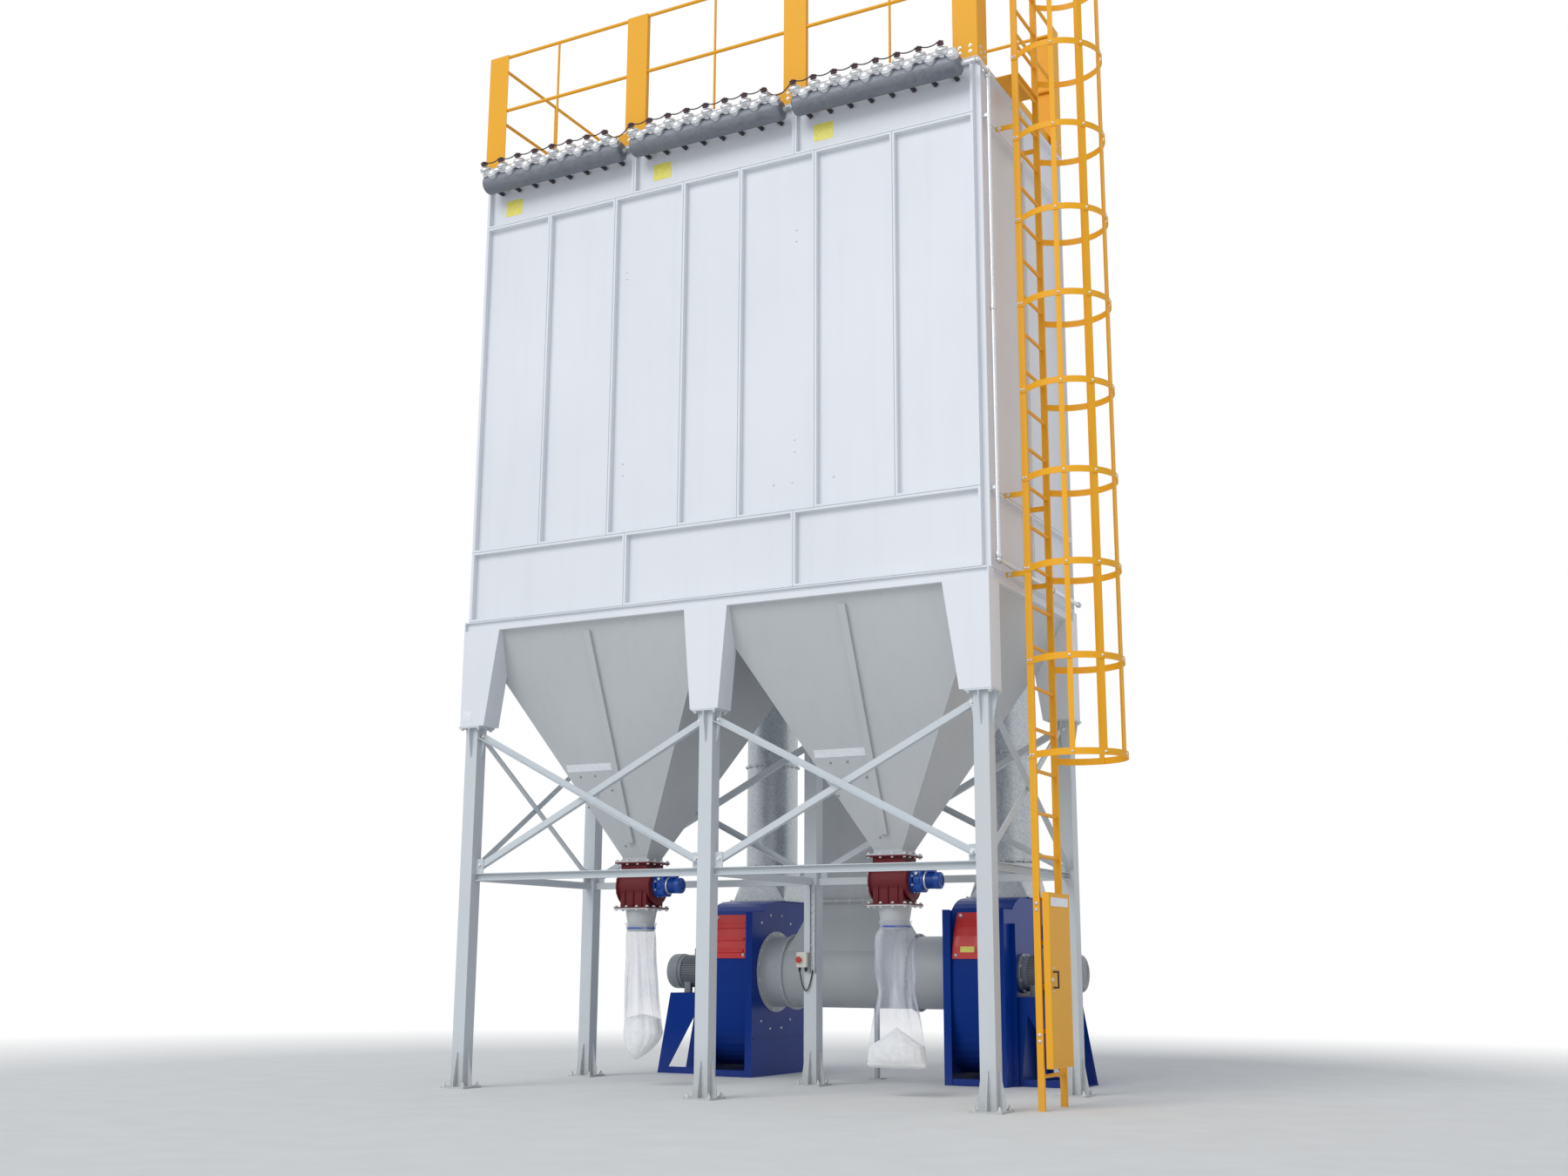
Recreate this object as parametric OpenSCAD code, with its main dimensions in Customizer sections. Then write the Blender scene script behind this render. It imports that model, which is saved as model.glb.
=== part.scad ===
// Bag-filter dust collector on six braced legs, with two hoppers, rotary valves,
// two fans at the back, a caged ladder on the right end and a guard rail on the roof.
// Millimetres. X runs along the front, Y to the back and Z up from the ground.
// The origin is on the ground, midway between the six legs.

/* [Casing] */
// Length of the casing over its sheets
casing_len = 4760; // [4200:20:5400]
// Depth of the casing over its sheets
casing_wid = 1910; // [1700:10:2200]
// Height of the joint between support and casing
casing_z = 3890; // [3700:10:4200]
// Height of the lower tier of trays
lower_h = 620; // [500:10:800]
// Height of the bag tier of trays
bag_h = 3050; // [2400:10:3600]
// Height of the head tier of trays
head_h = 470; // [400:10:600]
// Thickness of the casing sheet
sheet_t = 4; // [3:1:6]
// How far the tray lips stand out from the sheet
lip_out = 50; // [30:1:70]
// Width of one tray lip, half of a rib
lip_w = 20; // [12:1:30]
// Width of the middle tray in the bag tier
centre_tray_w = 560; // [400:10:700]
// Trays on each side of the middle one
side_trays = 3; // [2:1:4]
// Trays along the lower and head tiers
module_count = 3; // [2:1:4]
// Trays across each end
end_trays = 2; // [1:1:3]
// Gap between two bolted trays
tray_gap = 0.4; // [0.2:0.1:1]
// Thickness of the roof sheet
roof_t = 6; // [4:1:10]
// Height of a roof cover
cover_h = 60; // [40:5:90]

/* [Support] */
// Width of a square leg
leg_w = 120; // [100:5:150]
// Distance of the leg centres in from the casing sheets
leg_inset = 50; // [40:5:90]
// Height of the leg tops
leg_top_z = 2980; // [2800:10:3100]
// Width of a base plate
base_w = 240; // [220:5:300]
// Thickness of the base and cap plates
base_t = 15; // [10:1:25]
// Spacing of the anchor holes in a base plate
anchor_pitch = 190; // [170:5:240]
// Diameter of an anchor hole
anchor_d = 18; // [12:1:22]
// Height of the fins at the foot of a leg
foot_fin_h = 270; // [200:10:350]
// Height of the fins at the head of a leg
head_fin_h = 240; // [180:10:300]
// How far the fins stand out from the leg
fin_out = 48; // [30:1:50]
// Thickness of fins and gusset plates
fin_t = 8; // [6:1:12]
// Height of the ring beam under the casing
ring_h = 90; // [60:5:120]
// Width of the ring beam
ring_w = 90; // [70:5:120]
// How deep the outer face of the ring beam is hollowed
ring_recess = 28; // [10:2:40]
// Thickness of the ring beam's flanges
ring_t = 10; // [6:1:16]
// Depth of a support haunch
haunch_deep = 210; // [160:5:260]
// Width of a middle haunch at its top
haunch_top_w = 400; // [320:10:480]
// Width of a middle haunch at its foot
haunch_foot_w = 255; // [220:5:300]
// Height of the tie beams above the ground
tie_z = 1680; // [1500:10:1900]
// Height of a tie beam
tie_h = 60; // [50:5:80]
// Depth of a tie beam
tie_d = 45; // [30:5:60]
// Thickness of tie beam walls and brace angles
section_t = 6; // [4:1:8]
// Leg size of the brace angles
brace_w = 50; // [40:5:60]
// Length of a brace lug on a leg
lug_w = 75; // [60:5:100]
// Height of a brace lug
lug_h = 120; // [100:5:150]

/* [Hoppers] */
// Height of the hopper outlets above the ground
outlet_z = 1850; // [1700:10:2000]
// Inner width of a hopper outlet
outlet_w = 240; // [200:10:300]
// Height of the straight neck on a hopper
neck_h = 45; // [30:5:80]
// Width of the outlet flanges
outlet_flange_w = 340; // [320:5:400]
// Thickness of the outlet flanges
flange_t = 10; // [8:1:16]
// Width of the stiffener on a hopper face
stiffener_w = 60; // [40:5:90]
// How far a stiffener stands out
stiffener_out = 30; // [20:5:50]

/* [Rotary valves] */
// Height of a rotary valve between its flanges
valve_h = 375; // [340:5:440]
// Diameter of the valve body
valve_d = 285; // [240:5:310]
// Length of the valve body
valve_len = 300; // [260:5:320]
// Diameter of the gearbox
gearbox_d = 200; // [160:5:240]
// Length of the gearbox
gearbox_len = 110; // [90:5:150]
// Diameter of the valve motor
valve_motor_d = 140; // [110:5:170]
// Length of the valve motor
valve_motor_len = 130; // [110:5:220]
// Length of a discharge spigot
spigot_h = 190; // [150:5:230]
// Diameter of a spigot at its lower end
spigot_d = 230; // [200:5:235]
// Length of a collection bag
bag_len = 1060; // [800:10:1100]
// Width of the filled end of a bag
bag_w = 480; // [380:10:560]

/* [Fans] */
// Distance of the fan inlet plates from the middle
fan_in_x = 950; // [850:10:1100]
// Width of a fan casing
fan_w = 570; // [480:10:620]
// Distance of the fan axis behind the casing sheets
fan_back_off = 1025; // [980:5:1250]
// Height of the fan axis
fan_z = 940; // [880:10:1000]
// Height of the scroll's lowest point
scroll_low_z = 80; // [50:5:150]
// How far the scroll lies behind the front edge of its side plates
scroll_inset = 30; // [20:5:60]
// Distance of the fan axis behind the front edge of its side plates
fan_axis_back = 460; // [430:10:520]
// Depth of a fan side plate, front to back
fan_plate_len = 1180; // [1150:10:1300]
// Height of the front edge of a fan side plate
fan_plate_h = 1480; // [1350:10:1500]
// Top of the fan outlet flange
fan_top_z = 1600; // [1550:10:1700]
// Depth of the fan outlet, front to back
fan_out_len = 560; // [500:10:600]
// Thickness of a fan side plate
fan_plate_t = 8; // [6:1:12]
// Diameter of a fan motor
fan_motor_d = 340; // [280:10:380]
// Length of a fan motor
fan_motor_len = 560; // [480:10:640]
// Length of the motor stool, from the casing out
stool_len = 560; // [480:10:620]
// Height of the motor stool
stool_h = 740; // [700:10:760]
// Width of the motor stool, front to back
stool_wid = 520; // [440:10:600]
// How much shorter the stool's table is than its foot
stool_slope = 130; // [80:10:180]
// Thickness of the stool's plates
stool_t = 10; // [6:1:14]
// Diameter of the inlet plenum between the fans
plenum_d = 640; // [560:10:680]
// Sideways place of the tee in the plenum
tee_x = -100; // [-160:10:0]
// Length of the tee body
tee_len = 1250; // [1100:10:1350]
// Width of the clean-air duct
duct_w = 620; // [500:10:700]
// Depth of the clean-air duct
duct_d = 520; // [440:10:560]
// Height of the flange under the clean-air duct
duct_z = 1575; // [1500:5:1640]
// Diameter of the round discharge ducts
stack_d = 500; // [420:10:540]
// Height at which the discharge ducts end
stack_top_z = 3900; // [3000:50:4500]

/* [Air headers] */
// Diameter of a compressed-air header
header_d = 175; // [160:5:220]
// Length of a header
header_len = 1500; // [1350:10:1550]
// Height of the header axis below the roof
header_drop = 95; // [60:5:150]
// Gap between header and casing lips
header_gap = 15; // [5:1:40]
// Pulse valves on a header
valves_per_header = 8; // [6:1:9]
// Diameter of a pulse valve
pulse_d = 80; // [60:5:90]
// Height of a pulse valve with its coil
pulse_h = 125; // [90:5:150]
// Lean of the pulse valves to the front, in degrees
pulse_lean = 35; // [0:5:45]
// Diameter of the air supply pipe
air_pipe_d = 34; // [26:1:42]

/* [Ladder] */
// Distance of the ladder axis out from the casing sheets
ladder_off = 220; // [190:5:300]
// Sideways place of the ladder axis
ladder_y = -390; // [-450:10:-300]
// Clear width between the stiles
ladder_w = 450; // [400:10:500]
// Depth of a stile
stile_d = 50; // [40:5:70]
// Thickness of a stile
stile_t = 25; // [20:1:35]
// Pitch of the rungs
rung_pitch = 310; // [250:2:320]
// Height of the lowest rung
first_rung_z = 235; // [200:5:350]
// Diameter of a rung
rung_d = 28; // [22:1:32]
// Height of the stile tops above the roof
stile_over = 1240; // [1100:10:1300]
// Height of the lowest cage hoop
first_hoop_z = 2490; // [2300:10:2700]
// Pitch of the cage hoops
hoop_pitch = 705; // [600:5:750]
// Radius of the cage
cage_r = 350; // [330:5:380]
// Height of a hoop bar
hoop_h = 50; // [40:5:60]
// Thickness of the hoops and straps
bar_t = 6; // [5:1:8]
// Width of a cage strap
strap_w = 40; // [30:5:50]
// Straps down the cage
strap_count = 5; // [3:1:7]
// Height of the guard door
door_h = 1230; // [1000:10:1400]
// Height of the lower edge of the guard door
door_z = 290; // [200:10:350]
// Width of the guard door
door_w = 445; // [400:5:450]
// Depth of the guard door
door_d = 50; // [30:5:60]

/* [Guard rail] */
// Height of the guard rail above the roof
rail_h = 1240; // [1100:10:1300]
// Width of a guard post
post_w = 210; // [160:10:240]
// Thickness of a guard post plate
post_t = 6; // [4:1:10]
// Width of the plate post beside the ladder
gate_post_w = 70; // [40:5:100]
// Depth of the lips on a guard post
post_lip = 45; // [30:5:60]
// Height of the toe boards
toe_h = 150; // [120:10:200]
// Diameter of the rails
rail_d = 30; // [25:1:40]
// Thickness of the roof-level step
step_t = 8; // [5:1:12]

/* [Hidden] */

casing_grey = "#c9cdd2";
hopper_grey = "#b9bcbf";
steel_grey = "#c3c9ca";
guard_yellow = "#e6a92c";
fan_blue = "#16306b";
motor_blue = "#1b4590";
valve_red = "#6e2a27";
panel_red = "#c9251f";
zinc = "#aeb4b8";
motor_grey = "#a3a49e";
bag_white = "#e9edf2";
black = "#1b1b1d";

half_len = casing_len / 2;
half_wid = casing_wid / 2;
mid_z = casing_z + lower_h;
top_z = mid_z + bag_h;
roof_z = top_z + head_h;
leg_x = half_len - leg_inset;
ladder_x = half_len + ladder_off;
fan_y = half_wid + fan_back_off;
leg_y = half_wid - leg_inset;
ring_z = casing_z - ring_h;
ring_y = half_wid + lip_out - ring_w / 2;
joint_gap = 0.3;
hopper_x = half_len / 2;
hopper_w = half_len - 2 * joint_gap;
valve_top_z = outlet_z - flange_t;
valve_low_z = valve_top_z - valve_h;
side_tray_w = (casing_len - centre_tray_w) / (2 * side_trays);
bag_tray_count = 2 * side_trays + 1;
bag_tray_ws = [for (i = [0 : bag_tray_count - 1]) i == side_trays ? centre_tray_w : side_tray_w];
module_ws = [for (i = [1 : module_count]) casing_len / module_count];
end_ws = [for (i = [1 : end_trays]) casing_wid / end_trays];
fan_plate_y = fan_y - fan_axis_back;
fan_back_y = fan_plate_y + fan_plate_len;
fan_out_y = fan_back_y - fan_out_len;
header_y = -half_wid - lip_out - header_gap - header_d / 2;
header_z = roof_z - header_drop;
header_pitch = casing_len / module_count;
valve_pitch = header_len / valves_per_header;
ladder_top_z = roof_z + stile_over;
rung_count = floor((ladder_top_z - first_rung_z - rung_d) / rung_pitch) + 1;
hoop_count = floor((ladder_top_z - first_hoop_z - hoop_h) / hoop_pitch) + 1;
cage_x = ladder_x + cage_r * 0.8;
door_gap = 20;
door_x = ladder_x + stile_d / 2 + door_gap;
door_y = ladder_y - ladder_w / 2 - stile_t;
hinge_off = 15;
hinge_x = door_x + hinge_off;
hinge_y = door_y + door_w + hinge_off;
hinge_d = 16;
pin_d = 8;
pin_gap = 0.1;
knuckle_h = 40;
hinge_in = 180;
hinge_zs = [door_z + hinge_in, door_z + door_h - hinge_in - 2 * knuckle_h];
gate_gap = 40;
gate_y = ladder_y + ladder_w / 2 + stile_t + gate_gap;
post_x = half_len + lip_out;
post_y = half_wid + lip_out;
hood_lift = 35;
hood_z = top_z + hood_lift;
hood_h = head_h - 2 * hood_lift;
duct_flange_out = 50;
duct_flange_t = 10;
valve_end_t = 15;
bag_top_z = valve_low_z - spigot_h - joint_gap;
bag_d = 250;

function tray_start(widths, i) = i == 0 ? 0 : tray_start(widths, i - 1) + widths[i - 1];

// A pressed tray standing on X and Z with its sheet at y = 0 and its lips out to -Y
module tray(w, h) {
    difference() {
        translate([0, -lip_out, 0])
            cube([w, lip_out + sheet_t, h]);
        translate([lip_w, -lip_out - 1, lip_w])
            cube([w - 2 * lip_w, lip_out + 1, h - 2 * lip_w]);
    }
}

module tray_row(widths, h) {
    for (i = [0 : len(widths) - 1])
        translate([tray_start(widths, i) + tray_gap / 2, 0, tray_gap / 2])
            tray(widths[i] - tray_gap, h - tray_gap);
}

// The four sides of a tier, each a row of trays whose sheet lies on the casing's face
module front_row(widths, z, h) {
    translate([-half_len, -half_wid, z])
        tray_row(widths, h);
}

module rear_row(widths, z, h) {
    rotate([0, 0, 180])
        front_row(widths, z, h);
}

// End rows fit between the front and rear sheets
module right_row(z, h) {
    inner = casing_wid - 2 * sheet_t - 2 * joint_gap;
    translate([half_len, -inner / 2, z])
        rotate([0, 0, 90])
            tray_row([for (w = end_ws) w * inner / casing_wid], h);
}

module left_row(z, h) {
    rotate([0, 0, 180])
        right_row(z, h);
}

module tapered_fin(h, out) {
    rotate([90, 0, 0])
        translate([0, 0, -fin_t / 2])
            linear_extrude(fin_t)
                polygon([[0, 0], [out, 0], [out, h * 0.18], [out * 0.25, h], [0, h]]);
}

module anchor_holes() {
    for (x = [-1, 1], y = [-1, 1])
        translate([x * anchor_pitch / 2, y * anchor_pitch / 2, -1])
            cylinder(d = anchor_d, h = base_t + 2, $fn = 32);
}

// A plate beside the leg, above the tie beam, that a brace is bolted to
module brace_lug(a) {
    rotate([0, 0, a])
        translate([leg_w / 2 - 1, -fin_t / 2, tie_z + tie_h + joint_gap])
            cube([lug_w + 1, fin_t, lug_h]);
}

module leg(lug_angles) {
    difference() {
        translate([-base_w / 2, -base_w / 2, 0])
            cube([base_w, base_w, base_t]);
        anchor_holes();
    }
    translate([-leg_w / 2, -leg_w / 2, 0])
        cube([leg_w, leg_w, leg_top_z]);
    cap_w = leg_w + 2 * fin_out;
    translate([-cap_w / 2, -cap_w / 2, leg_top_z - base_t])
        cube([cap_w, cap_w, base_t]);
    for (a = [0 : 90 : 270])
        rotate([0, 0, a]) {
            translate([leg_w / 2 - 1, 0, base_t])
                tapered_fin(foot_fin_h, fin_out);
            translate([leg_w / 2 - 1, 0, leg_top_z - base_t])
                mirror([0, 0, 1])
                    tapered_fin(head_fin_h, fin_out);
        }
    for (a = lug_angles)
        brace_lug(a);
}

module front_legs() {
    color(steel_grey) {
        translate([-leg_x, -leg_y, 0])
            leg([0, 90]);
        translate([0, -leg_y, 0])
            leg([0, 180]);
        translate([leg_x, -leg_y, 0])
            leg([90, 180]);
    }
}

module rear_legs() {
    color(steel_grey)
        rotate([0, 0, 180])
            front_legs();
}

// A tapered box standing on a leg's cap plate, its outer face flush with the ring beam
module haunch(left_top, right_top, left_foot, right_foot) {
    rotate([90, 0, 0])
        linear_extrude(haunch_deep)
            polygon([[left_foot, leg_top_z], [right_foot, leg_top_z],
                [right_top, ring_z], [left_top, ring_z]]);
}

module support_haunches() {
    edge = half_len + lip_out;
    corner_top = haunch_top_w * 0.94;
    corner_foot = haunch_foot_w * 0.98;
    color(casing_grey)
        difference() {
            for (side = [0, 180])
                rotate([0, 0, side])
                    translate([0, -half_wid - lip_out + haunch_deep, 0]) {
                        haunch(-haunch_top_w / 2, haunch_top_w / 2, -haunch_foot_w / 2, haunch_foot_w / 2);
                        haunch(-edge, corner_top - edge, -edge, corner_foot - edge);
                        haunch(edge - corner_top, edge, edge - corner_foot, edge);
                    }
            for (x = [-hopper_x, hopper_x])
                translate([x, 0, 0])
                    frustum(hopper_w + 2 * joint_gap, casing_wid + 2 * joint_gap,
                        outlet_w + 2 * sheet_t + 2 * joint_gap, outlet_z + neck_h, ring_z - joint_gap, ring_h);
        }
}

// A beam along X whose outer face, at y = 0, is hollowed between its flanges and end plates
module ring_beam(length) {
    difference() {
        translate([-length / 2, 0, 0])
            cube([length, ring_w, ring_h]);
        translate([-length / 2 + ring_t, -1, ring_t])
            cube([length - 2 * ring_t, ring_recess + 1, ring_h - 2 * ring_t]);
    }
}

module ring_beams_long() {
    color(casing_grey)
        for (side = [0, 180])
            rotate([0, 0, side])
                translate([0, -half_wid - lip_out, ring_z])
                    ring_beam(casing_len + 2 * lip_out);
}

module ring_beams_cross() {
    length = 2 * ring_y - ring_w;
    color(casing_grey) {
        for (side = [0, 180])
            rotate([0, 0, side])
                translate([half_len + lip_out, 0, ring_z])
                    rotate([0, 0, 90])
                        ring_beam(length);
        translate([-ring_w / 2, -length / 2, ring_z])
            cube([ring_w, length, ring_h]);
    }
}

// A channel along X with its open side to -Y, its back at y = tie_d
module tie_channel(length) {
    difference() {
        translate([-length / 2, 0, 0])
            cube([length, tie_d, tie_h]);
        translate([-length / 2 - 1, -1, section_t])
            cube([length + 2, tie_d - section_t + 1, tie_h - 2 * section_t]);
    }
}

module tie_beams() {
    bay = leg_x - leg_w;
    span = 2 * leg_y - leg_w;
    color(steel_grey) {
        for (side = [0, 180], x = [-leg_x / 2, leg_x / 2])
            rotate([0, 0, side])
                translate([x, -leg_y - tie_d / 2, tie_z])
                    tie_channel(bay);
        for (x = [-leg_x, 0, leg_x])
            translate([x, 0, tie_z])
                rotate([0, 0, x > 0 ? 90 : -90])
                    translate([0, -tie_d / 2, 0])
                        tie_channel(span);
    }
}

// An angle lying against the plane y = 0, its outstanding leg along the lower edge
module brace(from, to) {
    rise = to[1] - from[1];
    run = to[0] - from[0];
    length = sqrt(run * run + rise * rise);
    translate([from[0], fin_t / 2 + joint_gap, from[1]])
        rotate([0, -atan2(rise, run), 0])
            translate([-brace_w / 3, 0, -brace_w / 2]) {
                cube([length + brace_w * 2 / 3, section_t, brace_w]);
                cube([length + brace_w * 2 / 3, brace_w, section_t]);
            }
}

// Two crossing angles, one on each face of the lugs and fins they are bolted to
module crossed_braces(span) {
    low = [-span / 2 + lug_w * 0.55, tie_z + tie_h + lug_h * 0.55];
    high = [span / 2 - fin_out * 0.6, leg_top_z - head_fin_h * 0.35];
    brace(low, high);
    mirror([1, 0, 0])
        mirror([0, 1, 0])
            brace(low, high);
}

module long_braces() {
    span = leg_x - leg_w;
    color(steel_grey)
        for (side = [0, 180], x = [-leg_x / 2, leg_x / 2])
            rotate([0, 0, side])
                translate([x, -leg_y, 0])
                    crossed_braces(span);
}

module end_braces() {
    color(steel_grey)
        for (x = [-leg_x, leg_x])
            translate([x, 0, 0])
                rotate([0, 0, 90])
                    crossed_braces(2 * leg_y - leg_w);
}

module lower_casing() {
    color(casing_grey) {
        front_row(module_ws, casing_z, lower_h);
        rear_row(module_ws, casing_z, lower_h);
        left_row(casing_z, lower_h);
        right_row(casing_z, lower_h);
    }
}

module bag_casing_front() {
    color(casing_grey)
        front_row(bag_tray_ws, mid_z, bag_h);
}

module bag_casing_rear() {
    color(casing_grey)
        rear_row(bag_tray_ws, mid_z, bag_h);
}

module bag_casing_ends() {
    color(casing_grey) {
        left_row(mid_z, bag_h);
        right_row(mid_z, bag_h);
    }
}

module head_casing() {
    color(casing_grey) {
        front_row(module_ws, top_z, head_h);
        rear_row(module_ws, top_z, head_h);
        left_row(top_z, head_h);
        right_row(top_z, head_h);
    }
}

module roof_sheet() {
    color(casing_grey)
        translate([-half_len - lip_out, -half_wid - lip_out, roof_z])
            cube([casing_len + 2 * lip_out, casing_wid + 2 * lip_out, roof_t]);
}

module roof_covers() {
    spacing = 120;
    edge = 240;
    w = header_pitch - spacing;
    d = casing_wid - 2 * edge;
    color(casing_grey)
        for (i = [0 : module_count - 1])
            translate([-half_len + (i + 0.5) * header_pitch - w / 2, -d / 2, roof_z + roof_t])
                cube([w, d, cover_h]);
}

// A frustum standing upside down from the casing's bottom to a square outlet
module frustum(top_x, top_y, low, z_low, z_high, over = 0) {
    hull() {
        translate([-top_x / 2, -top_y / 2, z_high - 1])
            cube([top_x, top_y, 1 + over]);
        translate([-low / 2, -low / 2, z_low])
            cube([low, low, 1]);
    }
}

// A strip down the middle of the sloping face that looks to -Y
module face_strip(top_y, low_y, z_low, z_high) {
    top_at = 0.96;
    low_at = 0.06;
    slope = (top_y - low_y) / (z_high - z_low);
    hull()
        for (at = [low_at, top_at])
            translate([-stiffener_w / 2, 0, z_low + at * (z_high - z_low)])
                translate([0, -low_y - slope * at * (z_high - z_low) - stiffener_out, 0])
                    cube([stiffener_w, stiffener_out + 1, 2]);
}

module hopper() {
    neck_z = outlet_z + neck_h;
    outer_w = outlet_w + 2 * sheet_t;
    z_high = ring_z - joint_gap;
    difference() {
        union() {
            frustum(hopper_w, casing_wid, outer_w, neck_z, z_high);
            translate([-outer_w / 2, -outer_w / 2, outlet_z])
                cube([outer_w, outer_w, neck_h + 1]);
            translate([-outlet_flange_w / 2, -outlet_flange_w / 2, outlet_z])
                cube([outlet_flange_w, outlet_flange_w, flange_t]);
        }
        translate([0, 0, 0.5])
            frustum(hopper_w - 2 * sheet_t, casing_wid - 2 * sheet_t, outlet_w, neck_z, z_high + 1);
        translate([-outlet_w / 2, -outlet_w / 2, outlet_z - 1])
            cube([outlet_w, outlet_w, neck_h + 4]);
    }
    for (a = [0, 180])
        rotate([0, 0, a])
            face_strip(half_wid, outer_w / 2, neck_z, z_high);
}

module hopper_left() {
    color(hopper_grey)
        translate([-hopper_x, 0, 0])
            hopper();
}

module hopper_right() {
    color(hopper_grey)
        translate([hopper_x, 0, 0])
            hopper();
}

module valve_flange(z) {
    translate([-outlet_flange_w / 2, -outlet_flange_w / 2, z])
        cube([outlet_flange_w, outlet_flange_w, flange_t]);
}

module rotary_valve() {
    axis_z = (valve_top_z + valve_low_z) / 2;
    end_over = 15;
    end_d = valve_d + 2 * end_over;
    stub_d = 90;
    stub_len = 50;
    rib_t = 8;
    throat_over = 10;
    throat_w = outlet_w + 2 * throat_over;
    rib_share = 0.42;
    rib_at = valve_len * 0.28;
    top_z = valve_top_z + flange_t - joint_gap;
    valve_flange(top_z - flange_t);
    valve_flange(valve_low_z);
    translate([-throat_w / 2, -throat_w / 2, valve_low_z])
        cube([throat_w, throat_w, top_z - valve_low_z]);
    translate([-valve_len / 2, 0, axis_z])
        rotate([0, 90, 0])
            cylinder(d = valve_d, h = valve_len, $fn = 64);
    for (x = [-valve_len / 2 - valve_end_t, valve_len / 2])
        translate([x, 0, axis_z])
            rotate([0, 90, 0])
                cylinder(d = end_d, h = valve_end_t, $fn = 64);
    translate([-valve_len / 2 - valve_end_t - stub_len, 0, axis_z])
        rotate([0, 90, 0])
            cylinder(d = stub_d, h = stub_len + 1, $fn = 32);
    for (side = [0, 180], x = [-rib_at, 0, rib_at])
        rotate([0, 0, side])
            translate([x - rib_t / 2, -valve_d / 2, valve_low_z])
                cube([rib_t, valve_d / 2, valve_h * rib_share]);
}

module rotary_valves() {
    color(valve_red)
        for (x = [-hopper_x, hopper_x])
            translate([x, 0, 0])
                rotary_valve();
}

// A worm gearbox on the valve's shaft with its motor in line and a terminal box on top
module gearmotor() {
    flange_len = 20;
    cowl_len = valve_motor_len * 0.25;
    case_w = gearbox_d * 0.8;
    box_w = valve_motor_d * 0.6;
    box_in = 20;
    box_over = 35;
    motor_x = gearbox_len - 1;
    translate([valve_len / 2 + valve_end_t + joint_gap, 0, (valve_top_z + valve_low_z) / 2]) {
        rotate([0, 90, 0]) {
            cylinder(d = gearbox_d, h = flange_len, $fn = 48);
            translate([0, 0, motor_x])
                cylinder(d = valve_motor_d * 0.92, h = valve_motor_len, $fn = 48);
            translate([0, 0, motor_x + valve_motor_len - cowl_len])
                cylinder(d = valve_motor_d, h = cowl_len + 1, $fn = 48);
        }
        translate([0, -case_w / 2, -gearbox_d / 2])
            cube([gearbox_len, case_w, gearbox_d]);
        translate([motor_x + box_in, -box_w / 2, 0])
            cube([box_w, box_w, valve_motor_d / 2 + box_over]);
    }
}

module valve_gearmotors() {
    color(motor_blue)
        for (x = [-hopper_x, hopper_x])
            translate([x, 0, 0])
                gearmotor();
}

module spigot() {
    collar_h = 60;
    cone_h = spigot_h - collar_h - flange_t;
    wall = 4;
    top_over = 15;
    top_d = outlet_w + 2 * top_over;
    translate([0, 0, valve_low_z - flange_t]) {
        difference() {
            translate([-outlet_flange_w / 2, -outlet_flange_w / 2, 0])
                cube([outlet_flange_w, outlet_flange_w, flange_t]);
            translate([0, 0, -1])
                cylinder(d = top_d - 2 * wall, h = flange_t + 2, $fn = 64);
        }
        difference() {
            union() {
                translate([0, 0, -cone_h])
                    cylinder(d1 = spigot_d, d2 = top_d, h = cone_h, $fn = 64);
                translate([0, 0, -cone_h - collar_h])
                    cylinder(d = spigot_d, h = collar_h, $fn = 64);
            }
            translate([0, 0, -cone_h])
                cylinder(d1 = spigot_d - 2 * wall, d2 = top_d - 2 * wall, h = cone_h, $fn = 64);
            translate([0, 0, -cone_h - collar_h - 1])
                cylinder(d = spigot_d - 2 * wall, h = collar_h + 1, $fn = 64);
        }
    }
}

module discharge_spigots() {
    color(hopper_grey)
        for (x = [-hopper_x, hopper_x])
            translate([x, 0, 0])
                spigot();
}

// A hanging bag, round at its tie and flat at its filled foot
module hanging_bag(foot_w, foot_z, tip_h) {
    neck_over = 8;
    neck_d = spigot_d + 2 * neck_over;
    waist_h = 260;
    waist_z = foot_z + waist_h;
    bulge_h = 60;
    seam_h = 10;
    hull() {
        translate([0, 0, bag_top_z - 2])
            cylinder(d = neck_d, h = 2, $fn = 32);
        translate([0, 0, waist_z])
            cylinder(d = bag_d, h = 2, $fn = 32);
    }
    hull() {
        translate([0, 0, waist_z])
            cylinder(d = bag_d, h = 2, $fn = 32);
        translate([-foot_w / 2, -bag_d / 3, foot_z + tip_h])
            cube([foot_w, bag_d * 2 / 3, bulge_h]);
        translate([-foot_w * 0.1, -bag_d / 6, foot_z])
            cube([foot_w * 0.3, bag_d / 3, seam_h]);
    }
}

module collection_bag_left() {
    tip_h = 120;
    color(bag_white)
        translate([-hopper_x, 0, 0])
            hanging_bag(bag_w * 0.75, bag_top_z - bag_len, tip_h);
}

module collection_bag_right() {
    tip_h = 10;
    color(bag_white)
        translate([hopper_x, 0, 0])
            hanging_bag(bag_w, bag_top_z - bag_len, tip_h);
}

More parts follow.
